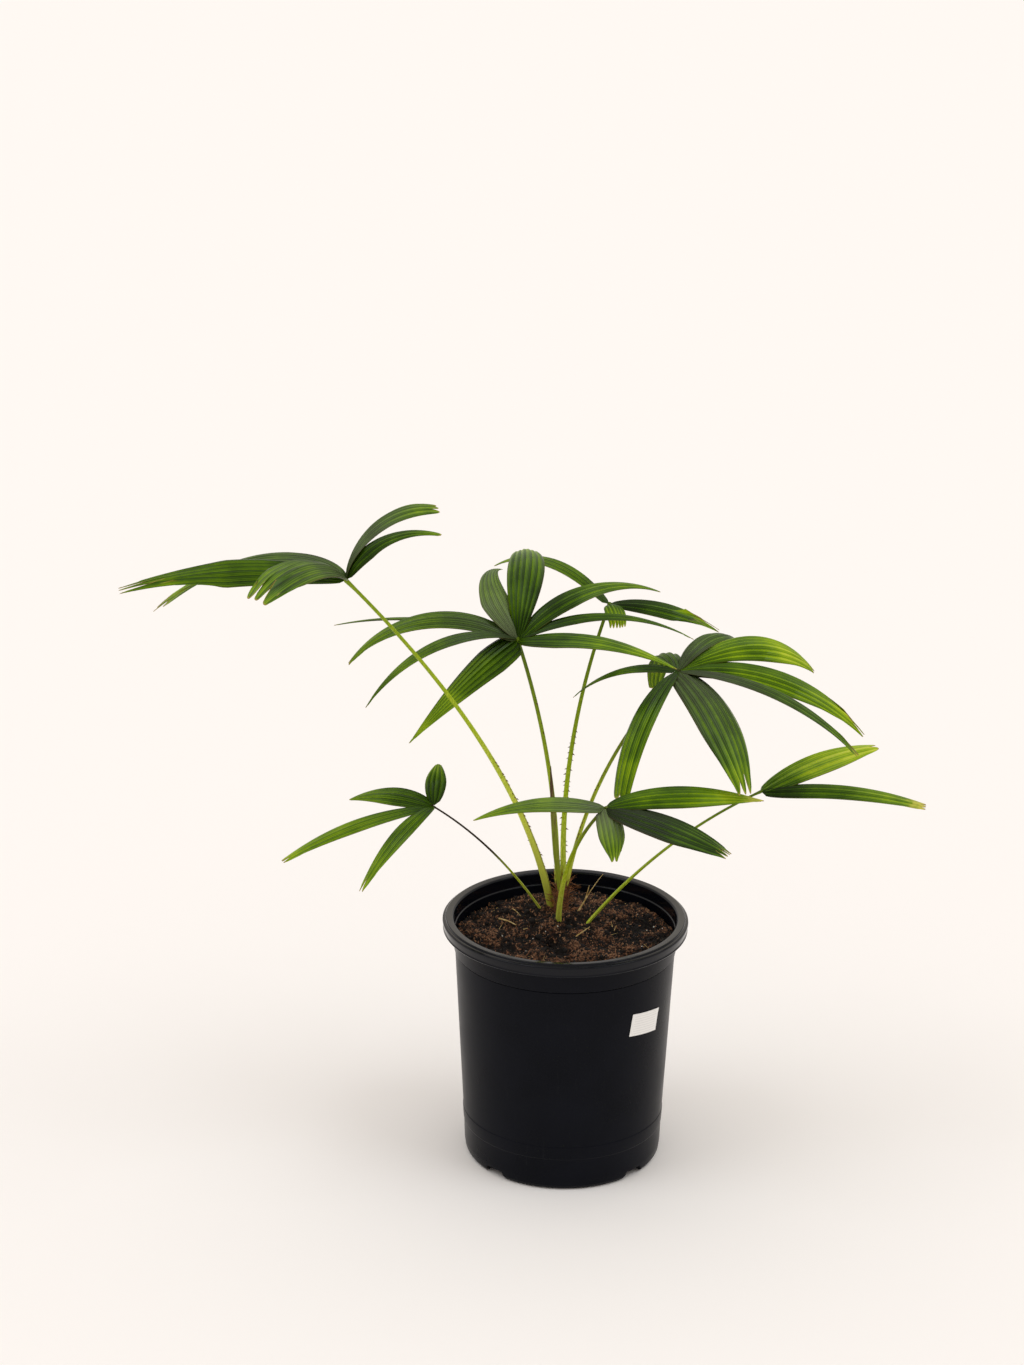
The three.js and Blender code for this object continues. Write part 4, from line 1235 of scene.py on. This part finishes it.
class MakeCrown(bpy.types.Operator):
    """Wraps the short stem in the brown fibre of old leaf sheaths."""

    bl_idname = "palm.make_crown"
    bl_label = "Crown"

    def execute(self, context):
        settings = context.scene.palm_crown
        foot, top = CROWN_LOW.z, CROWN_TOP + 1 * MM
        rows, sides = 44, 60
        wall = [
            (CROWN_RADIUS * mix(0.98, 0.9, i / rows), mix(foot, top, i / rows)) for i in range(rows + 1)]
        mesh = turned_mesh("crown_wrap", [(0, foot), *wall, (0, top)], sides)
        for vertex in mesh.vertices:
            x, y, z = vertex.co
            ridges = 0.06 * math.sin(5 * math.atan2(y, x) + z / RIDGE_HEIGHT)
            rough = 0.12 * noise.fractal(Vector((x, y, z * 0.4)) / FIBRE_MAT_GRAIN, 0.8, 2.1, 3)
            flare = 0.25 * math.exp(-((z - foot) / FLARE_HEIGHT) ** 2)
            flat = Vector((x, y, 0)) * (1 + ridges + rough + flare)
            vertex.co = Vector((CROWN.x + flat.x, CROWN.y + flat.y, z))
        smooth_by_angle(mesh, 70)
        skin = plant_matter("sheath_fibre_mat", "#26130a", "#84502a", 0.9, 1.6 * MM)
        wrap = new_piece("crown_wrap", mesh, skin)
        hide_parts("crown_stem")

        strand = strand_object("strand_source", 0.25)
        hair = plant_matter("sheath_fibres", "#5e341a", "#cb874e", 0.75, 3 * MM)
        mesh = grown(
            place_object("fibre_ground", mesh.copy()), fibre_tree(), "crown_fibres", Strand=strand,
            Density=settings.fibre_density, Length=settings.fibre_length, Material=hair)
        bpy.data.objects.remove(strand)
        fibres = new_piece("crown_fibres", mesh)
        return {"FINISHED"}


def stick(start, end, girth, bow=0.0, steps=8):
    """A thin dry stick between two points, bowed upwards by this many metres."""
    along = (end - start).normalized()
    side = level_side(along)
    spine = []
    for i in range(steps + 1):
        t = i / steps
        rise = Vector((0, 0, bow * 4 * t * (1 - t)))
        spine.append({
            "place": start.lerp(end, t) + rise, "along": along, "side": side, "up": side.cross(along),
            "girth": girth * mix(1.0, 0.45, t), "share": t})
    return spine


class MakeStraw(bpy.types.Operator):
    """Lays bits of straw on the mix and stands dry stalks in it."""

    bl_idname = "palm.make_straw"
    bl_label = "Straw"

    def execute(self, context):
        def on_soil(x, y, lift=1.6):
            return Vector((x * MM, y * MM, soil_height(x * MM, y * MM) + lift * MM))

        sticks = [
            stick(on_soil(-68, 21, 3), on_soil(-50, 4, 2.6), 1.0 * MM, 1 * MM),
            stick(on_soil(-55, 44, 4), on_soil(-46, 23, 2), 0.5 * MM, 1 * MM),
            stick(on_soil(11, -26, 4), on_soil(25, -10, 5), 0.7 * MM),
            stick(on_soil(11, 24, -3), on_soil(23, 34, 17), 1.2 * MM),
            stick(on_soil(23, 34, 17), on_soil(38, 36, 42), 0.6 * MM, 1 * MM),
            stick(on_soil(20, 33, 12), on_soil(24, 35, 27), 0.8 * MM),
            stick(on_soil(-74, 44, 2), on_soil(-70, 50, 4), 0.35 * MM),
        ]
        chance = random.Random(STRAW_SEED)
        for _ in range(STRAW_BITS):
            radius = STRAW_SPREAD * math.sqrt(chance.random())
            x, y, _ = polar(radius, chance.uniform(0, 2 * math.pi))
            heading = chance.uniform(0, 2 * math.pi)
            length = chance.uniform(4, 13)
            reach_x = x + length * math.cos(heading)
            reach_y = y + length * math.sin(heading)
            if math.hypot(reach_x, reach_y) < STRAW_LIMIT:
                girth = chance.uniform(0.2, 0.45) * MM
                sticks.append(stick(on_soil(x, y), on_soil(reach_x, reach_y, 2.2), girth))
        straw = plant_matter("dry_straw", "#b08a44", "#e6cb8e", 0.6, 4 * MM)
        mesh = grown(
            spine_object("straw_spines", sticks), stalk_tree(), "dry_straw", Sides=6, Material=straw)
        piece = new_piece("dry_straw", mesh)
        return {"FINISHED"}


def blade_width(t, leaflet):
    """A leaflet's width as a share of its widest."""
    widest = leaflet["widest"]
    if t < widest:
        grow = math.sin(math.pi / 2 * max(0.0, t) / widest) ** leaflet["fill"]
        return ROOT_WIDTH + (1 - ROOT_WIDTH) * grow
    return 1 - (1 - leaflet["tip"]) * ((t - widest) / (1 - widest)) ** leaflet["taper"]


def blade_stations(hub, leaflet, number):
    """Walks a leaflet's middle line out of the hub and returns its stations."""
    heading, rise, arch, sweep, roll, twist = (
        math.radians(leaflet[key]) for key in ("heading", "rise", "arch", "sweep", "roll", "twist"))
    length = leaflet["length"] * MM

    def aim(t):
        climb = rise - arch * t ** leaflet["bend"]
        return Vector(polar(math.cos(climb), heading + sweep * t, math.sin(climb)))

    lead = BLADE_START - BLADE_SUNK
    steps = round((length + lead) / STATION_SPACING) * WALK_STEPS
    step = (length + lead) / steps
    place = hub + aim(0) * BLADE_SUNK
    stations = []
    for k in range(steps + 1):
        t = max(0.0, (k * step - lead) / length)
        if k > 0:
            place = place + aim(max(0.0, ((k - 0.5) * step - lead) / length)) * step
        if k % WALK_STEPS:
            continue
        along = aim(t)
        turn = heading + sweep * t
        side = Quaternion(along, roll + twist * t) @ Vector((-math.sin(turn), math.cos(turn), 0))
        stations.append({
            "place": place.copy(), "along": along, "side": side, "up": along.cross(side),
            "half": leaflet["width"] * MM / 2 * blade_width(k / steps, leaflet),
            "share": k / steps, "length": length, "number": number,
            **{key: leaflet[key] for key in BLADE_VALUES}})
    return stations


def blade_tree():
    """Lays strips of pleated faces on the stations of a frond's leaflets, and cuts their ends' lobes."""
    tree, given = geometry_tree("Pleated blades", Columns=24, Pleat_depth=0.2, Fold=0.3, Seed=2)
    count = add_node(tree, "GeometryNodeAttributeDomainSize", given["Geometry"])
    wide = add_node(tree, "ShaderNodeMath", given["Columns"], 1.0, operation="ADD")
    grid = add_node(tree, "GeometryNodeMeshGrid", 1.0, 1.0, wide, count)

    # A grid's points are numbered along Y first, so a point's station and column follow from its number
    index = add_node(tree, "GeometryNodeInputIndex")
    station = add_node(tree, "ShaderNodeMath", index, count, operation="MODULO")
    column = add_node(tree, "ShaderNodeMath", index, count, operation="DIVIDE")
    column = add_node(tree, "ShaderNodeMath", column, operation="FLOOR")
    unit = add_node(tree, "ShaderNodeMath", column, given["Columns"], operation="DIVIDE")
    across = add_node(tree, "ShaderNodeMath", unit, 2.0, -1.0, operation="MULTIPLY_ADD")

    found = {}
    kinds = dict.fromkeys(("side", "up", "along"), "FLOAT_VECTOR")
    kinds |= dict.fromkeys(("half", "share", "length", "number", *BLADE_VALUES), "FLOAT")
    for name, kind in kinds.items():
        value = add_node(tree, "GeometryNodeInputNamedAttribute", name, data_type=kind)
        found[name] = add_node(
            tree, "GeometryNodeSampleIndex", given["Geometry"], value, station, data_type=kind)
    where = add_node(tree, "GeometryNodeInputPosition")
    moved = add_node(
        tree, "GeometryNodeSampleIndex", given["Geometry"], where, station, data_type="FLOAT_VECTOR")

    # Pleats: a folded wave across the blade that flattens towards the end, and edges that droop
    phase = add_node(tree, "ShaderNodeMath", unit, found["pleats"], operation="MULTIPLY")
    wave = add_node(tree, "ShaderNodeMath", phase, 0.5, operation="PINGPONG")
    wave = add_node(tree, "ShaderNodeMath", wave, 2.0, -0.5, operation="MULTIPLY_ADD")
    pleat = add_node(tree, "ShaderNodeMath", found["half"], found["pleats"], operation="DIVIDE")
    depth = add_node(tree, "ShaderNodeMath", given["Pleat depth"], 2.0, operation="MULTIPLY")
    fading = add_node(tree, "ShaderNodeMapRange", found["share"], 0.5, 1.0, 1.0, 0.45)
    for part in (depth, fading, wave):
        pleat = add_node(tree, "ShaderNodeMath", pleat, part, operation="MULTIPLY")
    aside = add_node(tree, "ShaderNodeMath", across, operation="ABSOLUTE")
    droop = add_node(tree, "ShaderNodeMath", aside, 1.25, operation="POWER")
    droop = add_node(tree, "ShaderNodeMath", droop, found["half"], operation="MULTIPLY")
    lowered = add_node(tree, "ShaderNodeMath", given["Fold"], -1.0, operation="MULTIPLY")
    height = add_node(tree, "ShaderNodeMath", droop, lowered, pleat, operation="MULTIPLY_ADD")

    # Each lobe's end is pulled back towards its edges, and each by its own random share
    lobe = add_node(tree, "ShaderNodeMath", unit, found["lobes"], operation="MULTIPLY")
    edge = add_node(tree, "ShaderNodeMath", lobe, operation="ROUND")
    identity = add_node(tree, "ShaderNodeMath", found["number"], 31.0, edge, operation="MULTIPLY_ADD")
    luck = add_node(tree, "FunctionNodeRandomValue", 0.6, 1.25, identity, given["Seed"])
    cut = add_node(tree, "ShaderNodeMath", lobe, 0.5, operation="PINGPONG")
    cut = add_node(tree, "ShaderNodeMath", cut, -2.0, 1.0, operation="MULTIPLY_ADD")
    pull = add_node(tree, "ShaderNodeMath", cut, found["point"], operation="POWER")
    near_end = add_node(tree, "ShaderNodeMapRange", found["share"], 0.55, 1.0, 0.0, -1.0)
    for part in (found["split"], luck, near_end, found["length"]):
        pull = add_node(tree, "ShaderNodeMath", pull, part, operation="MULTIPLY")

    sideways = add_node(tree, "ShaderNodeMath", across, found["half"], operation="MULTIPLY")
    for direction, amount in (("side", sideways), ("up", height), ("along", pull)):
        scaled = add_node(tree, "ShaderNodeVectorMath", found[direction], amount, operation="SCALE")
        moved = add_node(tree, "ShaderNodeVectorMath", moved, scaled, operation="ADD")
    geometry = grid
    kept = {"across": across, "phase": phase, "moved": moved}
    kept |= {name: found[name] for name in ("share", "tone", "dry", "bloom", "number")}
    for name, value in kept.items():
        kind = "FLOAT_VECTOR" if name == "moved" else "FLOAT"
        geometry = add_node(
            tree, "GeometryNodeStoreNamedAttribute", geometry, True, name, value, data_type=kind)
    target = add_node(tree, "GeometryNodeInputNamedAttribute", "moved", data_type="FLOAT_VECTOR")
    geometry = add_node(tree, "GeometryNodeSetPosition", geometry, named={"Position": target})

    # A face between two leaflets has a number that isn't whole, and goes
    number = add_node(tree, "GeometryNodeInputNamedAttribute", "number")
    part = add_node(tree, "ShaderNodeMath", number, operation="FRACT")
    bridge = add_node(tree, "ShaderNodeMath", part, 0.25, operation="GREATER_THAN")
    blades = add_node(tree, "GeometryNodeDeleteGeometry", geometry, bridge, domain="FACE")
    return close_tree(tree, blades, given["Material"])


class MakeFans(bpy.types.Operator):
    """Grows each frond's fan of pleated leaflets."""

    bl_idname = "palm.make_fans"
    bl_label = "Fans"

    def execute(self, context):
        settings = context.scene.palm_fans
        tree = blade_tree()
        skin = palm_leaf()
        for step, frond in enumerate(FRONDS):
            hub = Vector(frond["hub"]) * MM
            spines = [blade_stations(hub, blade, number) for number, blade in enumerate(frond["leaflets"])]
            name = f"fan_{frond['name']}"
            source = spine_object(f"{name}_spines", spines)
            solid = source.modifiers.new("Thickness", "SOLIDIFY")
            solid.thickness = settings.thickness
            solid.offset = -1
            mesh = grown(
                source, tree, name, Columns=settings.columns, Pleat_depth=settings.pleat_depth,
                Fold=settings.fold, Seed=step, Material=skin)
            mesh.attributes.remove(mesh.attributes["moved"])
            smooth_by_angle(mesh, 50)
            fan = new_piece(name, mesh)
            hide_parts(*(f"leaflet_{frond['name']}_{i + 1}" for i in range(len(spines))))
        return {"FINISHED"}


class MakeStage(bpy.types.Operator):
    """Lays a plain pale floor and sets the camera and soft studio light."""

    bl_idname = "palm.make_stage"
    bl_label = "Stage"

    def execute(self, context):
        settings = context.scene.palm_stage
        scene = context.scene
        corners = [(x * FLOOR_REACH, y * FLOOR_REACH, 0) for x, y in ((-1, -1), (1, -1), (1, 1), (-1, 1))]
        mesh = new_mesh("floor", corners, [], [(0, 1, 2, 3)])
        material, _, shader = new_material("matt_studio_floor", Roughness=0.9, Specular_IOR_Level=0.0)
        shader.inputs["Base Color"].default_value = settings.floor_colour
        mesh.materials.append(material)
        floor = place_object("floor", mesh)

        # Light from the sky: soft all round, and stronger from above
        world = bpy.data.worlds.new("studio")
        world.use_nodes = True
        tree = world.node_tree
        sky = tree.nodes["Background"]
        sky.inputs["Color"].default_value = linear("#fff9f4")
        direction = add_node(tree, "ShaderNodeTexCoord").outputs["Generated"]
        above = add_node(tree, "ShaderNodeVectorMath", direction, SKY_TOP, operation="DOT_PRODUCT")
        strength = add_node(
            tree, "ShaderNodeMapRange", above, -0.4, 0.9, settings.room_strength, settings.overhead_strength)
        feed(tree, sky.inputs["Strength"], strength)
        scene.world = world

        for name, turn, strength in (("left", -LAMP_TURN, 0.8), ("right", LAMP_TURN, 1.0)):
            lamp = bpy.data.lights.new(f"sun_{name}", "SUN")
            lamp.angle = math.radians(LAMP_WIDTH)
            lamp.color = linear("#eff7ff")[:3]
            lamp.energy = settings.key_strength * strength
            light = place_object(f"sun_{name}", lamp)
            direction = Quaternion((0, 0, 1), math.radians(turn)) @ LAMP_SLOPE
            light.rotation_mode = "QUATERNION"
            light.rotation_quaternion = direction.to_track_quat("-Z", "Y")

        camera = place_object("camera", bpy.data.cameras.new("camera"))
        camera.data.lens = CAMERA_LENS
        camera.data.sensor_width = SENSOR_WIDTH
        camera.location = CAMERA_PLACE
        yaw, pitch = math.radians(CAMERA_YAW), math.radians(CAMERA_PITCH)
        facing = Vector(polar(math.cos(pitch), yaw + math.pi / 2, -math.sin(pitch)))
        level = facing.to_track_quat("-Z", "Y")
        camera.rotation_mode = "QUATERNION"
        camera.rotation_quaternion = level @ Quaternion((0, 0, 1), math.radians(CAMERA_ROLL))
        scene.camera = camera
        scene.view_settings.view_transform = "Standard"
        return {"FINISHED"}


class PalmPanel(bpy.types.Panel):
    """Lists the palm's pieces and their settings."""

    bl_idname = "VIEW3D_PT_fan_palm"
    bl_label = "Fan palm"
    bl_space_type = "VIEW_3D"
    bl_region_type = "UI"
    bl_category = "Fan palm"

    def draw(self, context):
        for group, settings, operators in PIECES:
            box = self.layout.box()
            for name in settings.__annotations__:
                box.prop(getattr(context.scene, group), name)
            for operator in operators:
                box.operator(operator.bl_idname)


# The pieces in their order of making: the settings' name on the scene, the settings and the operators
PIECES = (
    ("palm_stage", StageSettings, (MakeStage,)),
    ("palm_pot", PotSettings, (MakePot,)),
    ("palm_label", LabelSettings, (MakeLabel,)),
    ("palm_soil", SoilSettings, (MakeSoil, MakeStraw)),
    ("palm_crown", CrownSettings, (MakeCrown, MakeSpear)),
    ("palm_petioles", PetioleSettings, (MakePetioles,)),
    ("palm_fans", FanSettings, (MakeFans,)),
)


def register():
    """Registers the settings, the operators and the panel."""
    for group, settings, operators in PIECES:
        for kind in (settings, *operators):
            bpy.utils.register_class(kind)
        setattr(bpy.types.Scene, group, PointerProperty(type=settings))
    bpy.utils.register_class(PalmPanel)


def unregister():
    """Removes what register added."""
    bpy.utils.unregister_class(PalmPanel)
    for group, settings, operators in PIECES:
        delattr(bpy.types.Scene, group)
        for kind in (settings, *operators):
            bpy.utils.unregister_class(kind)


def main():
    """Makes every piece in order."""
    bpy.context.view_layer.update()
    register()
    for _, _, operators in PIECES:
        for operator in operators:
            group, name = operator.bl_idname.split(".")
            getattr(getattr(bpy.ops, group), name)()


if __name__ == "__main__":
    main()
